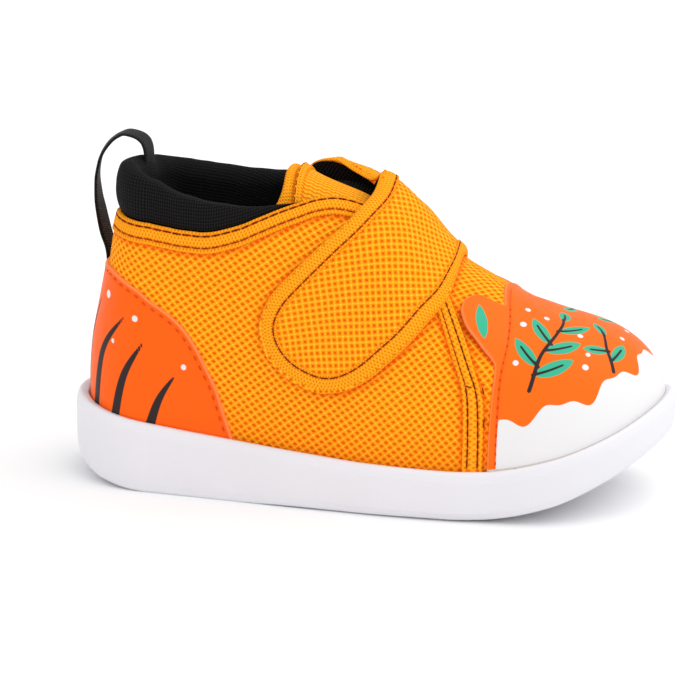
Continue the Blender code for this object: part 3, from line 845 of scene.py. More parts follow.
def sew(name, node, line, lifted, thread, pitch, length, half):
    """A seam of a node along a line: short threads that stand out towards the lifted line and dive in at
    their ends, with the length of each, its half thickness and the pitch between them."""
    rings, sides = 7, 6
    stand, dive = 0.55, 1.1
    line, at = evenly(line, step=0.25)
    lifted, _ = evenly(lifted, step=0.25)
    out = along_line(np.linspace(0, 1, len(at)), np.linspace(0, 1, len(lifted)), lifted)
    out = unit(out - line)
    along = np.linspace(-1, 1, rings)
    points, quads = [], []
    count = max(round(at[-1] / pitch), 1)
    for middle in (np.arange(count) + 0.5) * at[-1] / count:
        where = middle + along * min(length, at[-1]) / 2
        spine = along_line(where, at, line)
        up = unit(along_line(where, at, out))
        across = unit(np.cross(unit(np.gradient(spine, axis=0)), up))
        spine = spine + up * (half * (stand - dive * along ** 4))[:, None]
        thick = half * np.sqrt(np.clip(1 - np.abs(along) ** 5, 0.04, 1))
        index = len(points) * rings * sides + np.arange(rings * sides).reshape(rings, sides)
        quads += quads_of(np.concatenate([index, index[:, :1]], axis=1)).tolist()
        quads += [index[0].tolist(), index[-1][::-1].tolist()]
        tube = []
        for angle in np.linspace(0, 2 * np.pi, sides, endpoint=False):
            tube.append(spine + (across * np.cos(angle) + up * np.sin(angle)) * thick[:, None])
        points.append(np.stack(tube, 1).reshape(-1, 3))
    mesh = bpy.data.meshes.new(name)
    mesh.from_pydata((np.concatenate(points) * MM).tolist(), [], quads)
    mesh.shade_smooth()
    mesh.materials.append(thread)
    fix(add(name, mesh), node, stands_for=False)


def thread_of(name, colour):
    """Spun polyester thread: a dull sheen and a close twist."""
    thread, tree, shader = finish(name, roughness=0.8, shine=0.1)
    twist = speckle(tree, per_metre=3200.0, detail=1.0)
    put(tree, tint(tree, twist, dye(*colour), dye(*(c * 0.7 for c in colour))), shader.inputs["Base Color"])
    raise_by(tree, shader, twist, depth=0.06)
    return thread


counter_end = (COUNTER["round"][-1], 71)
counter_around = heel_run(counter_end, counter_end)
counter_low = rim_arch(counter_around)
counter_high = np.maximum(read(COUNTER, "arch", np.abs(counter_around)), counter_low + COUNTER_LEAST)
share = 1 - (1 - np.linspace(0, 1, 64)[:, None]) ** ROWS_CROWDING
counter_arch = counter_low + (counter_high - counter_low) * share
counter_edge, _ = evenly(skin(counter_around, counter_high, OVERLAY_LIFT), step=0.8)
flat = skin(counter_around, counter_arch, OVERLAY_LIFT)
away = gap_to(flat, counter_edge)
points = skin(counter_around, counter_arch, turned_edge(away, away - SEAM_IN))
counter_sheet = coated("coated_heel", (255, 99, 12), ("blade", DARK_INK), ("seed", PALE_INK))
counter = shaped("coated_heel_counter", points, counter_sheet,
                 edge=away, blade=printed(flat, BLADES), seed=printed(flat, spots(SEEDS)))
thicken(counter, SHEET_THICKNESS)
fix(counter, "heel_counter")

edge = skin(counter_around, counter_high)
out = unit(skin(counter_around, counter_high, 1.0) - edge)
seam = edge + np.cross(out, unit(np.gradient(edge, axis=0))) * SEAM_IN
keep = seam[:, 2] > rim_height(seam) + SEWN_ABOVE_RIM
seam = seam + out * (OVERLAY_LIFT - SEAM_SINK)
sew("heel_counter_stitches", "heel_counter", seam[keep], (seam + out)[keep],
    thread_of("red_thread", (242, 90, 20)), pitch=2.6, length=1.3, half=0.11)

# Toe cap. The same coated sheet over the toe, its rear edge turned, beaded and sewn down, with one rounded
# tab a side that lies on the vamp. The print is a white wavy foot, and leaf sprigs on dark stems with dots.
CAP_EDGE = table("arch round",
                 (0, 1.957),
                 (30, 1.959),
                 (40, 1.960),
                 (42.4, 1.957),
                 (44, 1.945),
                 (45.6, 1.925),
                 (48, 1.901),
                 (50.2, 1.877),
                 (53, 1.860),
                 (57, 1.849),
                 (60, 1.8505),
                 (64, 1.864),
                 (67.4, 1.889),
                 (69.2, 1.918),
                 (70.4, 1.942),
                 (71.6, 1.954),
                 (75, 1.949),
                 (82, 1.942),
                 (90, 1.936))
CAP_SEAM = table("arch round",
                 (3, 1.981),
                 (27, 1.978),
                 (37, 1.977),
                 (43, 1.979),
                 (52, 1.983),
                 (59, 1.981),
                 (64, 1.978),
                 (71, 1.970),
                 (80, 1.959),
                 (87, 1.953))
TAB_LOW = 43
TAB_HIGH = 71
TAB_BASE = 1.962
TAB_DEEP = 0.08
TAB_FADE = 6
TAB_TOP_FADE = 4
OUTER_TAB_LIFT = 1.1
INNER_TAB_LIFT = -0.3
INNER_TAB_REACH = 0.035
SEWN_TO = 73
SEAM_FADES_AT = 84
SEAM_FADE = 8
SEAM_LEAST = 0.05
CAP_SEAM_SINK = 0.28
CAP_SEAM_HALF = 0.3
CAP_ROWS = np.concatenate([np.linspace(0, TAB_LOW - 1, 48), np.linspace(TAB_LOW - 1, TAB_HIGH + 1, 76)[1:],
                           np.linspace(TAB_HIGH + 1, 90, 22)[1:]])
CAP_COLUMNS = np.concatenate([0.05 * np.linspace(0, 1, 14)[:-1] ** 1.6, np.linspace(0.05, 0.2, 36)[:-1],
                              np.linspace(0.2, 1, 74)])
BAND_HEIGHT = 12.0
BAND_CLEAR = 2.1
BAND_WAVES = table("height length shift",
                   (1.5, 17.0, 0.6),
                   (0.7, 8.3, 2.0))
GLUE_HEIGHT = 0.9
LEAF = np.array([0.15, 0.8, 1.0, 0.75, 0.1])
LEAVES = (((2.13, 42), (2.38, 47), 1.8), ((2.15, 46), (2.00, 57), 1.6), ((2.22, 54), (2.50, 56), 1.7),
          ((2.27, 58), (2.16, 72), 1.6), ((2.40, 66), (2.75, 65), 1.5), ((2.60, 74), (2.88, 80), 1.4),
          ((2.63, 41), (2.82, 46), 1.5), ((2.66, 47), (2.50, 53), 1.3), ((2.78, 57), (2.90, 66), 1.3),
          ((1.922, 50), (1.893, 62), 1.4))
RIB_ENDS = (-0.05, 0.72)
RIB_HALVES = (0.36, 0.26)
STEMS = (((2.10, 35), (2.17, 50), (2.36, 64), (2.62, 75)), ((2.60, 35), (2.66, 48), (2.80, 59)))
STEM_HALVES = (0.5, 0.42, 0.32)
DOTS = (((2.04, 66), 0.8), ((2.44, 42), 0.8), ((2.08, 77), 0.7), ((2.36, 75), 0.7),
        ((2.56, 61), 0.7), ((2.50, 48.5), 0.6), ((2.02, 46), 0.7), ((2.90, 50), 0.7))


def cap_edge(side, arch):
    """Round at which the cap's rear edge lies; the inner tab reaches further back."""
    further = np.clip((arch - TAB_LOW) / TAB_FADE, 0, 1) * np.clip((TAB_HIGH - arch) / TAB_FADE, 0, 1)
    return read(CAP_EDGE, "round", arch) - (side > 0) * INNER_TAB_REACH * further


def on_side(side, places):
    return [(side * round_place, arch) for round_place, arch in places]


rows = []
for arch in CAP_ROWS:
    edges = cap_edge(-1, arch), cap_edge(1, arch)
    outer, inner = (edge + (3 - edge) * CAP_COLUMNS for edge in edges)
    rows.append(np.concatenate([-outer, inner[::-1][1:]]))
cap_around = np.array(rows)[:, ::-1]
cap_arch = np.maximum(CAP_ROWS[:, None], rim_arch(cap_around))
flat = skin(cap_around, cap_arch, OVERLAY_LIFT)
edge_arch = np.linspace(0, 90, 360)
seam_arch = np.linspace(CAP_SEAM["arch"][0], CAP_SEAM["arch"][-1], 300)
away = np.full(flat.shape[:2], np.inf)
from_seam = np.full(flat.shape[:2], np.inf)
leaves, stems, dots = [], [], []
for side in (-1, 1):
    line = skin(side * cap_edge(side, edge_arch), edge_arch, OVERLAY_LIFT)
    away = np.minimum(away, gap_to(flat, evenly(line, step=0.5)[0]))
    line = skin(side * read(CAP_SEAM, "round", seam_arch), seam_arch, OVERLAY_LIFT)
    from_seam = np.minimum(from_seam, gap_to(flat, evenly(line, step=0.8)[0]))
    for base, tip, half in LEAVES:
        base, tip = np.array(on_side(side, (base, tip)))
        leaves.append(((base, tip), half * LEAF))
        if abs(base[0]) > TAB_BASE:
            stems.append(([base + (tip - base) * share for share in RIB_ENDS], RIB_HALVES))
    stems += [(on_side(side, stem), STEM_HALVES) for stem in STEMS]
    dots += [((side * place[0], place[1]), half) for place, half in DOTS]
tab = np.clip((TAB_BASE - np.abs(cap_around)) / TAB_DEEP, 0, 1)
tab = tab * np.clip((TAB_HIGH - CAP_ROWS[:, None]) / TAB_TOP_FADE, 0, 1)
tab = tab * np.where(cap_around < 0, OUTER_TAB_LIFT, INNER_TAB_LIFT)
sewn_in = np.clip((SEAM_FADES_AT - CAP_ROWS[:, None]) / SEAM_FADE, SEAM_LEAST, 1)
points = skin(cap_around, cap_arch, turned_edge(away, from_seam / sewn_in) + tab)
sideways = run(flat, 1)[20]
band = BAND_HEIGHT - run(flat, 0)
for height, length, shift in zip(*BAND_WAVES.values()):
    band = band + height * np.sin(2 * np.pi * sideways / length + shift)
# The seam layer is painted shade: a thin deeper orange line in the dent that the cap's seam pulls in.
cap_sheet = coated("coated_toe", (255, 108, 20), ("seam", (246, 88, 14)), ("leaf", (60, 178, 142)),
                   ("stem", (50, 42, 42)), ("dot", PALE_INK), ("band", (230, 229, 230)),
                   ("glue", (216, 206, 196)))
cap = shaped("coated_toe_cap", points, cap_sheet, edge=away, seam=CAP_SEAM_HALF - from_seam,
             leaf=printed(flat, leaves), stem=printed(flat, stems), dot=printed(flat, spots(dots)),
             band=np.minimum(band, away - BAND_CLEAR), glue=GLUE_HEIGHT - run(flat, 0))
thicken(cap, SHEET_THICKNESS)
fix(cap, "toe_cap")

cap_thread = thread_of("cap_thread", (222, 76, 16))
for side, side_name in ((-1, "outer"), (1, "inner")):
    seam_around = side * read(CAP_SEAM, "round", seam_arch)
    seam = skin(seam_around, seam_arch, OVERLAY_LIFT - CAP_SEAM_SINK)
    keep = (seam[:, 2] > rim_height(seam) + SEWN_ABOVE_RIM) & (seam_arch < SEWN_TO)
    lifted = skin(seam_around, seam_arch, OVERLAY_LIFT + 1.0)
    sew("toe_cap_stitches_" + side_name, "toe_cap", seam[keep], lifted[keep], cap_thread,
        pitch=2.15, length=0.85, half=0.12)

# Quarter edges. The front edge of each quarter is folded back under a knitted tape and sewn down to the
# vamp in two rows, the rear one finer above a short bar tack, with loose thread ends where the seams were
# finished off.
QUARTER_EDGE = table("arch rear front",
                     (3, 1.889, 1.946),
                     (12, 1.889, 1.946),
                     (21, 1.886, 1.944),
                     (27, 1.881, 1.940),
                     (31, 1.873, 1.931),
                     (36, 1.854, 1.914),
                     (46, 1.815, 1.878),
                     (53, 1.787, 1.848),
                     (60, 1.757, 1.818))
REAR_ROW = 1.3
FRONT_ROW = 3.7
TACK_ARCH = 31.0
TAPE_LIFT = 1.0
TAPE_THICKNESS = 0.4
TAPE_ROUNDING = 0.6
TAPE_DENT = 0.3
TAPE_SINK = 0.1
DENT_WIDTH = 0.4
# Painted shade: how far the colour of knitted tape is deepened in a seam's dent.
DENT_SHADE = 0.8
ROW_PITCH = 2.3
ROW_SINK = 0.35
ROWS_ABOVE_RIM = 0.3
SHORT_THREAD = 9.0
SHORT_SINK = 0.1
THREAD_OVERLAP = 1.04
THREAD_HALF = 0.14
FINE_HALF = 0.09
SHORT_SEAMS = (("tack", (1.888, 1.907), (TACK_ARCH, 31.2)),
               ("end_upper", (1.933, 1.940), (32.5, 30.1)),
               ("end_lower", (1.945, 1.945), (22.6, 19.4)))
LONG_SEAMS = (("rear", REAR_ROW, 0, TACK_ARCH),
              ("rear_upper", REAR_ROW, TACK_ARCH, 90),
              ("front", FRONT_ROW, 0, 90))


def dents(*seams):
    """Depth of the dents that seams pull into tape, from 0 to 1, by the distances from them."""
    return sum(np.exp(-(offset / DENT_WIDTH) ** 2) for offset in seams)


def tape_lift(away, top=TAPE_LIFT, dent=0.0):
    """Lift of knitted tape by the distance from its edge, less where seams pull it in."""
    return (top - TAPE_DENT * dent) * rounded(away, TAPE_ROUNDING) - TAPE_SINK


def knitted_tape(name, loop, row):
    """Orange knitted tape: the same net at a finer pitch, its holes in staggered rows that run along it."""
    colours = ((242, 118, 8), (255, 158, 18), (255, 184, 46))
    return open_mesh(name, (1 / loop, 0.5 / row), (-1 / loop, 0.5 / row), colours, depth=0.22)


edge_tape = knitted_tape("edge_tape", loop=1.37, row=1.0)
orange_tape = knitted_tape("orange_tape", loop=0.86, row=0.8)
dark_thread = thread_of("dark_thread", (98, 24, 6))
rust_thread = thread_of("rust_thread", (150, 56, 10))
arches = np.linspace(QUARTER_EDGE["arch"][0], QUARTER_EDGE["arch"][-1], 110)
rear = read(QUARTER_EDGE, "rear", arches)
front = read(QUARTER_EDGE, "front", arches)
across = (1 - np.cos(np.linspace(0, np.pi, 25))) / 2
for side, side_name in ((-1, "lateral"), (1, "medial")):
    node = "quarter_edge_" + side_name
    edge_around = np.sort(side * (rear[:, None] + (front - rear)[:, None] * across), axis=1)
    edge_arches = np.maximum(arches[:, None], rim_arch(edge_around))
    flat = skin(edge_around, edge_arches, TAPE_LIFT)
    reach = run(flat, 1)
    width = reach[:, -1:]
    from_rear = reach if side > 0 else width - reach
    dent = dents(from_rear - REAR_ROW, from_rear - FRONT_ROW)
    points = skin(edge_around, edge_arches, tape_lift(np.minimum(reach, width - reach), dent=dent))
    # The tape's colour is deepened along its seams' dents as painted shade.
    tape = shaped(node + "_tape", points, edge_tape,
                  cloth=in_cloth(run(flat, 0), reach), shade=DENT_SHADE * dent)
    thicken(tape, TAPE_THICKNESS)
    fix(tape, node)
    for row, inset, low, high in LONG_SEAMS:
        seam_around = side * (rear + (front - rear) * inset / width[:, 0])
        seam = skin(seam_around, arches)
        keep = (seam[:, 2] > rim_height(seam) + ROWS_ABOVE_RIM) & (arches >= low) & (arches <= high)
        place = seam_around[keep], arches[keep]
        fine = row == "rear_upper"
        sew(node + "_stitches_" + row, node, skin(*place, TAPE_LIFT - ROW_SINK),
            skin(*place, TAPE_LIFT + 1.0), rust_thread if fine else dark_thread,
            ROW_PITCH, THREAD_OVERLAP * ROW_PITCH, FINE_HALF if fine else THREAD_HALF)
    for row, rounds, ends in SHORT_SEAMS:
        place = side * np.linspace(*rounds, 12), np.linspace(*ends, 12)
        sew(node + "_stitches_" + row, node, skin(*place, TAPE_LIFT - SHORT_SINK),
            skin(*place, TAPE_LIFT + 1.0), dark_thread,
            SHORT_THREAD, THREAD_OVERLAP * SHORT_THREAD, THREAD_HALF)

# Topline binding. Knitted tape folded over the top edge of the quarters, from under the strap round the heel
# and back, sewn in two rows: one close under the fold and one near its lower edge.
BINDING_END = 1.60
BINDING_INNER_END = 1.36
BINDING_WIDTH = 4.8
BINDING_LIFT = 0.75
UPPER_ROW = 0.7
LOWER_ROW = 3.45
BINDING_SEAM_SINK = 0.3
BINDING_ROWS = 30
FOLD = table("over tuck",
             (0.12, 0.1),
             (0.22, 0.3),
             (0.26, 0.6),
             (0.25, 0.95),
             (0.18, 1.3))
binding_around = heel_run((BINDING_END, 131), (BINDING_INNER_END, 81))
binding_top = top_arch(binding_around)
degree = degree_at(binding_around, binding_top)
flat_rows = np.zeros(BINDING_ROWS)
down = np.concatenate([1 - np.linspace(0, 1, BINDING_ROWS) ** 0.9, np.zeros(len(FOLD["over"]))])[:, None]
over = np.concatenate([flat_rows, FOLD["over"]])[:, None]
tuck = np.concatenate([flat_rows, FOLD["tuck"]])[:, None]
reach = np.broadcast_to(down * BINDING_WIDTH, (len(down), len(binding_around)))
binding_arch = binding_top + (over - reach) / degree
from_low = BINDING_WIDTH - reach
dent = dents(reach - UPPER_ROW, reach - LOWER_ROW)
lift = tape_lift(from_low, BINDING_LIFT, dent) - tuck - leaned_in(binding_around, over - reach)
flat = skin(binding_around, binding_arch, TAPE_LIFT)
# Its colour is deepened along its seams' dents as painted shade.
binding = shaped("topline_tape", skin(binding_around, binding_arch, lift), orange_tape,
                 cloth=in_cloth(run(flat, 1)[12], from_low + over), shade=DENT_SHADE * dent)
thicken(binding, TAPE_THICKNESS)
fix(binding, "topline_binding")
for row, inset, half, thread in (("upper", UPPER_ROW, THREAD_HALF, dark_thread),
                                 ("lower", LOWER_ROW, 0.11, rust_thread)):
    row_arch = binding_top - inset / degree
    lift = BINDING_LIFT - BINDING_SEAM_SINK - leaned_in(binding_around, np.full(len(binding_around), -inset))
    sew("topline_stitches_" + row, "topline_binding", skin(binding_around, row_arch, lift),
        skin(binding_around, row_arch, lift + 1.0), thread, pitch=2.4, length=2.2, half=half)

# Collar. A padded roll of fine black knit round soft foam, sewn inside the topline. It swells above the tape,
# turns over and runs down inside as the lining's top, thinning out towards the throat.
COLLAR_END = (1.40, 81)
COLLAR_TOP = 7
INSIDE_SLANT = 0.42
COLLAR_SECTION = table("out out_pad up up_rise",
                       (-2.75, 0.0, -9.0, 0.0),
                       (-2.75, 0.0, -0.4, 0.0),
                       (-2.3, 0.0, 0.8, 0.0),
                       (-0.4, 0.0, 0.35, 0.02),
                       (0.0, 0.04, 0.3, 0.26),
                       (0.1, 0.05, 0.2, 0.58),
                       (0.1, -0.08, 0.1, 0.91),
                       (0.0, -0.43, 0.0, 1.0),
                       (0.0, -0.80, 0.1, 0.86),
                       (-0.2, -0.98, 0.2, 0.55),
                       (-0.4, -0.97, 0.0, 0.1),
                       (-1.4, -0.66, -5.0, 0.0),
                       (-2.75, -0.18, -9.0, 0.0),
                       (-2.75, 0.0, -9.0, 0.0))
collar_around = heel_run(COLLAR_END, COLLAR_END)
collar_top = top_arch(collar_around)
climb = skin(collar_around, collar_top + 1.0) - skin(collar_around, collar_top)
degrees_per_mm = 1 / np.linalg.norm(climb, axis=-1)
pad = read(TOPLINE, "pad", np.abs(collar_around))
rise = np.where(collar_around < 0, read(TOPLINE, "lateral_rise", -collar_around),
                read(TOPLINE, "medial_rise", collar_around))
section_at = np.linspace(0, len(COLLAR_SECTION["out"]) - 1, 92)[:-1]
rows = []
for out, out_pad, up, up_rise in zip(*by_row(COLLAR_SECTION, section_at).values()):
    height = up + up_rise * rise
    out = out + out_pad * pad - leaned_in(collar_around, height)
    face = skin(collar_around, collar_top + np.minimum(height, 0) * degrees_per_mm, out)
    rows.append(face + unit(climb) * np.maximum(height, 0)[:, None])
points = np.array(rows)
down_inside = run(points, 0) - run(points, 0)[np.searchsorted(section_at, COLLAR_TOP)]
places = in_cloth(run(points, 1)[50] + INSIDE_SLANT * np.maximum(down_inside, 0), run(points, 0))
hub = np.broadcast_to(points.mean(axis=0), points.shape)
points = np.concatenate([hub[:, :1], points, hub[:, -1:]], axis=1)
places = np.concatenate([places[:, :1], places, places[:, -1:]], axis=1)
collar = shaped("padded_collar", points, black_knit("collar_knit", rib=0.6, row=0.8, loop_share=0.8),
                tube=True, closed=True, cloth=places)
fix(collar, "collar")

# Tongue. Orange twill over thin foam with a black lining, sewn in at the front of the throat and held under
# the strap, so that only its rear end shows.
TONGUE = table("x turn",
               (-14.8, 34.0),
               (-8, 31.0),
               (2, 27.0),
               (14, 22.0))
TONGUE_THICKNESS = 1.9
TONGUE_LIFT = -(UPPER_WALL + 2 * GAP)
SAG = 0.5
EDGE_SAG = 0.9


def over_ridge(x, turn, lift):
    """A point given by its turn from the ridge, negative on the outer side."""
    round_place = 1 + (np.asarray(x, float) - HEEL_PIVOT) / (TOE_PIVOT - HEEL_PIVOT)
    return skin(np.where(turn < 0, -1.0, 1.0) * round_place, 90 - np.abs(turn), lift)


def tongue_sag(across):
    """How far the tongue's edges hang below its middle."""
    return SAG * across ** 2 + EDGE_SAG * across ** 4


def twill(name):
    """Orange ribbed cloth: close ribs along the foot that waver a little."""
    cloth, tree, shader = finish(name, roughness=0.8, shine=0.06)
    along, up, _ = layer(tree, "cloth")
    ribs = ripple(tree, sums(tree, "MULTIPLY_ADD", ripple(tree, up, 2.2), 0.14, along), 1.03)
    lit = ease(tree, sums(tree, "MULTIPLY_ADD", ripple(tree, up, 1.1), 0.25, ribs), low=-1.1, high=1.1)
    put(tree, tint(tree, lit, dye(244, 132, 10), dye(255, 184, 40)), shader.inputs["Base Color"])
    raise_by(tree, shader, lit, depth=0.2)
    raise_by(tree, shader, speckle(tree, per_metre=3800.0), depth=0.05, strength=0.5)
    return cloth


x = np.linspace(TONGUE["x"][0], TONGUE["x"][-1], 56)[:, None]
across = np.linspace(-1, 1, 61)
points = over_ridge(x, read(TONGUE, "turn", x) * across, TONGUE_LIFT - tongue_sag(across))
tongue = shaped("padded_tongue", points, twill("tongue_twill"), black_lining,
                cloth=cloth_on(points, row=20))
thicken(tongue, TONGUE_THICKNESS, lined=True)
fix(tongue, "tongue")

# Tongue binding. Knitted tape folded round the tongue's free end as a soft roll, sewn through in one row,
# with a flat band of it lying forward on the tongue.
ROLL_LENGTH = 2.3
ROLL_SPREAD = 2.2
ROLL_THICKNESS = 2.5
ROLL_DROP = 1.9
ROLL_FLATNESS = 0.8
ROLL_LAP = 0.3
BAND_LENGTH = 1.9
BAND_LAP = 0.2
BAND_LIFT = 0.7
TONGUE_SEAM_X = -15.2
TONGUE_SEAM_LIFT = 0.5
TONGUE_SEWN = 0.98
tongue_turn = TONGUE["turn"][0]


def signed_power(value, power):
    return np.sign(value) * np.abs(value) ** power


across = np.linspace(-1, 1, 71)
half = (ROLL_LENGTH + ROLL_SPREAD * across ** 4) / 2
roll_x = TONGUE_SEAM_X + ROLL_LAP - half
roll_lift = TONGUE_LIFT - ROLL_DROP - tongue_sag(across)
rows = []
for angle in np.linspace(0, 2 * np.pi, 36, endpoint=False):
    swell = ROLL_THICKNESS / 2 * signed_power(np.sin(angle), ROLL_FLATNESS)
    rows.append(over_ridge(roll_x + half * np.cos(angle), tongue_turn * across, roll_lift + swell))
points = np.array(rows)
places = cloth_on(points, row=9)
points[:, [0, -1]] = points.mean(axis=0)[[0, -1]]
roll = shaped("tongue_roll", points, orange_tape, tube=True, closed=True, cloth=places)
fix(roll, "tongue_binding")

reach = np.linspace(0, BAND_LENGTH, 16)[:, None]
lift = tape_lift(np.minimum(reach + ROLL_LAP, BAND_LENGTH - reach), BAND_LIFT)
lift = TONGUE_LIFT - tongue_sag(across) + lift
points = over_ridge(TONGUE_SEAM_X - BAND_LAP + reach, tongue_turn * across, lift)
band = shaped("tongue_band", points, orange_tape, cloth=in_cloth(run(points, 1)[8], reach))
thicken(band, TAPE_THICKNESS)
fix(band, "tongue_binding", stands_for=False)
across = np.linspace(-TONGUE_SEWN, TONGUE_SEWN, 120)
seam_lift = TONGUE_LIFT - tongue_sag(across) + TONGUE_SEAM_LIFT
sew("tongue_stitches", "tongue_binding", over_ridge(TONGUE_SEAM_X, tongue_turn * across, seam_lift),
    over_ridge(TONGUE_SEAM_X, tongue_turn * across, seam_lift + 1.0), rust_thread,
    pitch=2.3, length=2.4, half=0.12)

# Strap. Open mesh over foam with a black lining, bound all round with knitted tape that is sewn in one dark
# row. It grows from the inner quarter, stands up in an arch over the tongue and is pressed shut on the
# outer quarter.
STRAP_THICKNESS = 1.8
PANEL_SINK = 0.15
FOAM_THICKNESS = 1.5
TAPE_WIDTH = 4.5
STRAP = table("rear_x rear_turn rear_lift front_x front_turn front_lift",
              (-21.5, 60.0, 0.5, 12.0, 60.0, 0.5),
              (-22.3, 45.0, 2.2, 15.5, 46.0, 0.4),
              (-20.8, 35.0, 4.1, 19.8, 30.0, 0.1),
              (-14.7, 26.0, 4.8, 21.0, 20.0, 0.0),
              (-7.2, 16.5, 1.5, 21.7, 10.0, 0.0),
              (-0.6, 8.8, -0.3, 22.0, 4.1, 0.0),
              (0.6, 0.8, 3.2, 22.2, -2.0, 0.0),
              (1.2, -6.0, 2.9, 22.4, -7.8, 0.0),
              (1.5, -13.0, 2.1, 22.6, -14.0, 0.0),
              (-1.7, -28.2, 2.0, 22.2, -29.0, 0.1),
              (-7.8, -40.6, 1.3, 18.4, -44.0, 0.2),
              (-15.0, -53.1, 0.8, 12.0, -60.3, 0.4),
              (-19.7, -61.4, 0.6, 5.1, -69.9, 0.4),
              (-21.7, -68.0, 0.5, -1.5, -74.3, 0.4),
              (-19.7, -72.4, 0.5, -7.6, -75.7, 0.4),
              (-15.0, -75.0, 0.5, -15.0, -75.0, 0.5))
LAST_ROW = len(STRAP["rear_x"]) - 1
PANEL_ENDS = (0.12, LAST_ROW - 0.28)
PANEL_SIDES = (0.02, 0.98)
CROWN = 1.4
CORNER_SOFTNESS = 5.0
RIDGE_SLOPE = (0.82, 0.0, -0.57)
NARROWED = 0.42
NARROW_TURN = -8
NARROW_SPREAD = 22
NARROW_FROM_X = 15
LEVEL_FROM_X = 10
LEVEL_FADE = 5
LEVEL_SPAN = 8
TURN_SCALE = 2
EDGE_ROLL = table("step inward rise",
                  (0, 1.00, -0.35),
                  (1, 0.98, 0.12),
                  (2, 0.92, 0.28),
                  (3, 0.83, 0.12),
                  (4, 0.70, 0.30),
                  (5, 0.48, 0.28),
                  (6, 0.26, 0.02),
                  (7, 0.10, -0.42),
                  (8, 0.03, -0.90),
                  (9, 0.00, -1.30),
                  (10, 0.02, -1.55),
                  (11, 0.08, -1.66),
                  (12, 0.17, -1.50))
SEAM_PART = 0.83
STRAP_SEAM_LIFT = 0.1


def strap_place(at, share):
    """Where the strap is, at a place along its rows and a share from its rear to its front edge."""
    edge = by_row(STRAP, at)
    return tuple(edge["rear_" + c] + (edge["front_" + c] - edge["rear_" + c]) * part
                 for c, part in (("x", share), ("turn", share), ("lift", share ** CROWN)))


def place_on(points, guess):
    """The place of each point on the upper as x, turn and lift, found from a near guess by Newton's steps."""
    nudge, longest, rounds = 0.05, 4, 8
    at = guess.copy()
    for _ in range(rounds):
        here = over_ridge(*at.T)
        slopes = [(over_ridge(*(at + nudge * axis).T) - here) / nudge for axis in np.eye(3)]
        step = np.linalg.solve(np.stack(slopes, -1), (points - here)[..., None])[..., 0]
        at += np.clip(step, -longest, longest)
    return at


def softened(line, window):
    """A closed line, or values along one, averaged under a window."""
    half = len(window) // 2
    padded = np.concatenate([line[-half:], line, line[:half]])
    return np.stack([np.convolve(column, window / window.sum(), "valid") for column in padded.T], -1)


def around_strap(step):
    """The strap's outline as a closed run of (x, turn, lift), its two sewn corners rounded."""
    at = np.linspace(0, LAST_ROW, 400)
    out = np.stack(strap_place(at, 0.0), -1)
    home = np.stack(strap_place(at[::-1], 1.0), -1)[1:]
    end = home[-1] + (out[0] - home[-1]) * np.linspace(0, 1, 60)[1:-1, None]
    line = np.concatenate([out, home, end])
    far = run(over_ridge(*line.T)[None], 1)[0]
    line = along_line(np.linspace(0, far[-1], int(far[-1] / step)), far, line)
    return softened(line, np.hanning(2 * int(CORNER_SOFTNESS / step) + 3)[1:-1])


def laid_flat(points, turn):
    """Places in cloth over the ridge: along its slope, and down each side on sections square to it."""
    turns = np.linspace(-84, 84, 169)
    grid = over_ridge(np.linspace(-48, 37, 171)[:, None], turns[None], STRAP_THICKNESS)
    along = grid @ RIDGE_SLOPE
    cuts = np.linspace(along.min(), along.max(), 240)
    sections = np.stack([along_line(cuts, along[:, j], grid[:, j]) for j in range(len(turns))], 1)
    down = run(sections, 1)
    down = down - down[:, len(turns) // 2][:, None]
    here = points @ RIDGE_SLOPE
    at = np.clip((here - cuts[0]) / (cuts[1] - cuts[0]), 0, len(cuts) - 1.001)
    i, s = at.astype(int), at % 1
    at = np.clip(turn - turns[0], 0, len(turns) - 1.001)
    j, t = at.astype(int), at % 1
    near = down[i, j] * (1 - t) + down[i, j + 1] * t
    far = down[i + 1, j] * (1 - t) + down[i + 1, j + 1] * t
    return in_cloth(here, near * (1 - s) + far * s)


outline = around_strap(step=0.45)
x, turn, lift = strap_place(np.linspace(*PANEL_ENDS, 150)[:, None], np.linspace(*PANEL_SIDES, 76))
points = over_ridge(x, turn, lift + STRAP_THICKNESS - PANEL_SINK)
strap_mesh = open_mesh("strap_mesh", (0.533, 0.47), (0.452, -0.517))
panel = shaped("strap_panel", points, strap_mesh, black_lining, cloth=laid_flat(points, turn))
thicken(panel, FOAM_THICKNESS, lined=True)
fix(panel, "strap")

tape_edge = outline + (0.0, 0.0, STRAP_THICKNESS)
rim = over_ridge(*tape_edge.T)
ahead = unit(np.roll(rim, -1, axis=0) - np.roll(rim, 1, axis=0))
inward = np.cross(unit(over_ridge(*(tape_edge + (0.0, 0.0, 1.0)).T) - rim), ahead)
inward *= np.sign(np.sum(inward[200] * (rim.mean(axis=0) - rim[200])))
narrowing = NARROWED * np.exp(-((outline[:, 1] - NARROW_TURN) / NARROW_SPREAD) ** 2)
narrowing = narrowing * (outline[:, 0] > NARROW_FROM_X)
inner = place_on(rim + inward * (TAPE_WIDTH * (1 - narrowing))[:, None], tape_edge)
panel_lift = []
for at_x, at_turn, _ in inner:
    panel_lift.append(lift.flat[np.argmin((x - at_x) ** 2 + ((turn - at_turn) / TURN_SCALE) ** 2)])
level = STRAP_THICKNESS + softened(np.array(panel_lift)[:, None], np.ones(2 * LEVEL_SPAN + 1))[:, 0]
inner[:, 2] += (level - inner[:, 2]) * np.clip((outline[:, 0] - LEVEL_FROM_X) / LEVEL_FADE, 0, 1)
inner[:, 2] = np.maximum(inner[:, 2], level)
rows, shades = [], []
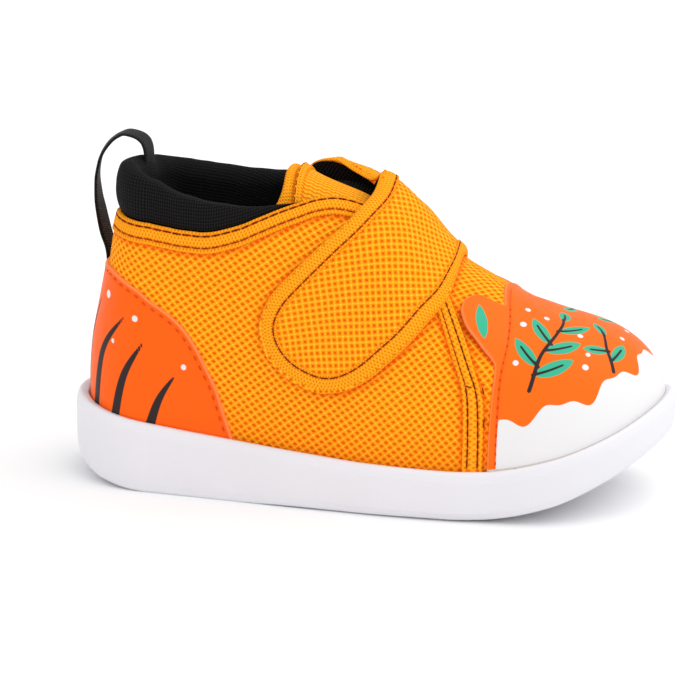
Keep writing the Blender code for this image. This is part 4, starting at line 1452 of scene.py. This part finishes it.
# Painted shade along the dent that the strap tape's seam pulls in.
for step in np.linspace(0, EDGE_ROLL["step"][-1], 60):
    part = read(EDGE_ROLL, "inward", step)
    shades.append(DENT_SHADE * dents((part - SEAM_PART) * TAPE_WIDTH))
    x, turn, lift = (tape_edge + (inner - tape_edge) * part).T
    rows.append(over_ridge(x, turn, lift + read(EDGE_ROLL, "rise", step)))
points = np.array(rows)
strap_tape = shaped("strap_tape", points, orange_tape, ring=True, tube=True, closed=True,
                    cloth=cloth_on(points, row=27),
                    shade=np.broadcast_to(np.array(shades)[:, None], points.shape[:2]))
fix(strap_tape, "strap", stands_for=False)
x, turn, lift = (tape_edge + (inner - tape_edge) * SEAM_PART).T
sew("strap_stitches", "strap", over_ridge(x, turn, lift + STRAP_SEAM_LIFT),
    over_ridge(x, turn, lift + STRAP_SEAM_LIFT + 1.0), dark_thread, pitch=2.5, length=2.6, half=0.13)

# Painted shade in the mesh. The upper's cloth is painted a deeper orange in the corner beside each raised
# edge that lies on it, and towards the sole, as the shade that falls there.
SHADE_REACH = 2.0
SHADE_POWER = 1.5
LOW_SHADE = 0.42
LOW_REACH = 16.0
TAB_SHADED_TO = 56
STRAP_FOOT = 0.3
raised_edges = [over_ridge(outline[:, 0], outline[:, 1], STRAP_FOOT),
                skin(binding_around, binding_top - BINDING_WIDTH / degree)]
tape_arch = np.linspace(QUARTER_EDGE["arch"][0], QUARTER_EDGE["arch"][-1], 60)
tab_arch = np.linspace(TAB_LOW, TAB_SHADED_TO, 40)
for side in (-1, 1):
    for edge in ("rear", "front"):
        raised_edges.append(skin(side * read(QUARTER_EDGE, edge, tape_arch), tape_arch))
    raised_edges.append(skin(side * cap_edge(side, tab_arch), tab_arch))
places = np.array([vertex.co for vertex in upper.data.vertices]) / MM
nearest = np.minimum.reduce([gap_to(places, evenly(line, step=1.0)[0]) for line in raised_edges])
shade = np.clip(1 - nearest / SHADE_REACH, 0, 1) ** SHADE_POWER
low = np.clip(1 - (places[:, 2] - rim_height(places)) / LOW_REACH, 0, 1)
made = upper.data.attributes.new("shade", "FLOAT", "POINT")
made.data.foreach_set("value", np.maximum(shade, LOW_SHADE * low).astype(np.float32))

# Pull loop. Black webbing, folded over and caught under the counter's top edge at the back and in the
# collar's seam inside; it stands up as a loose ring with a slight twist.
WEBBING_WIDTH = 7.2
WEBBING_THICKNESS = 0.8
WEBBING_SQUARENESS = 0.28
WEBBING_FLATNESS = 0.6
LOOP = table("x z yaw",
             (-64.3, 49.5, 0),
             (-64.7, 54.0, 0),
             (-66.0, 58.5, -2),
             (-66.9, 62.8, 0),
             (-67.6, 67.0, 5),
             (-67.8, 71.0, 10),
             (-67.1, 75.5, 13),
             (-65.0, 79.4, 12),
             (-62.2, 81.8, 6),
             (-60.0, 82.6, 2),
             (-57.2, 82.0, 0),
             (-55.3, 80.4, 0),
             (-54.7, 78.0, 0),
             (-54.6, 74.4, 0))


def webbing(name):
    """Black flat webbing: close ribs across it and a soft sheen."""
    cloth, tree, shader = finish(name, roughness=0.6, shine=0.16)
    along, up, _ = layer(tree, "cloth")
    ribs = ripple(tree, sums(tree, "MULTIPLY_ADD", up, 0.25, along), 0.62)
    lit = ease(tree, sums(tree, "MULTIPLY_ADD", ripple(tree, up, 0.9), 0.45, ribs), low=-1.2, high=1.3)
    put(tree, tint(tree, lit, dye(4, 3, 4), dye(22, 18, 19)), shader.inputs["Base Color"])
    raise_by(tree, shader, lit, depth=0.12)
    return cloth


way = by_row(LOOP, np.linspace(0, len(LOOP["x"]) - 1, 110))
level = np.zeros_like(way["x"])
middle = np.stack([way["x"], level, way["z"]], -1)
yaw = np.radians(way["yaw"])
across = np.stack([-np.sin(yaw), np.cos(yaw), level], -1)
face = unit(np.cross(unit(np.gradient(middle, axis=0)), across))
columns, up = [], []
for angle in np.linspace(0, 2 * np.pi, 40, endpoint=False):
    wide = signed_power(np.cos(angle), WEBBING_SQUARENESS) * WEBBING_WIDTH / 2
    thick = signed_power(np.sin(angle), WEBBING_FLATNESS) * WEBBING_THICKNESS / 2
    columns.append(middle + across * wide + face * thick)
    up.append(wide)
points = np.stack(columns, 1)
places = in_cloth(run(middle[:, None], 0), np.array(up))
hubs = np.broadcast_to(middle[:, None], points.shape)
points = np.concatenate([hubs[:1], points, hubs[-1:]], axis=0)
places = np.concatenate([places[:1], places, places[-1:]], axis=0)
loop = shaped("webbing_loop", points, webbing("black_webbing"), ring=True, closed=True, cloth=places)
fix(loop, "pull_loop")
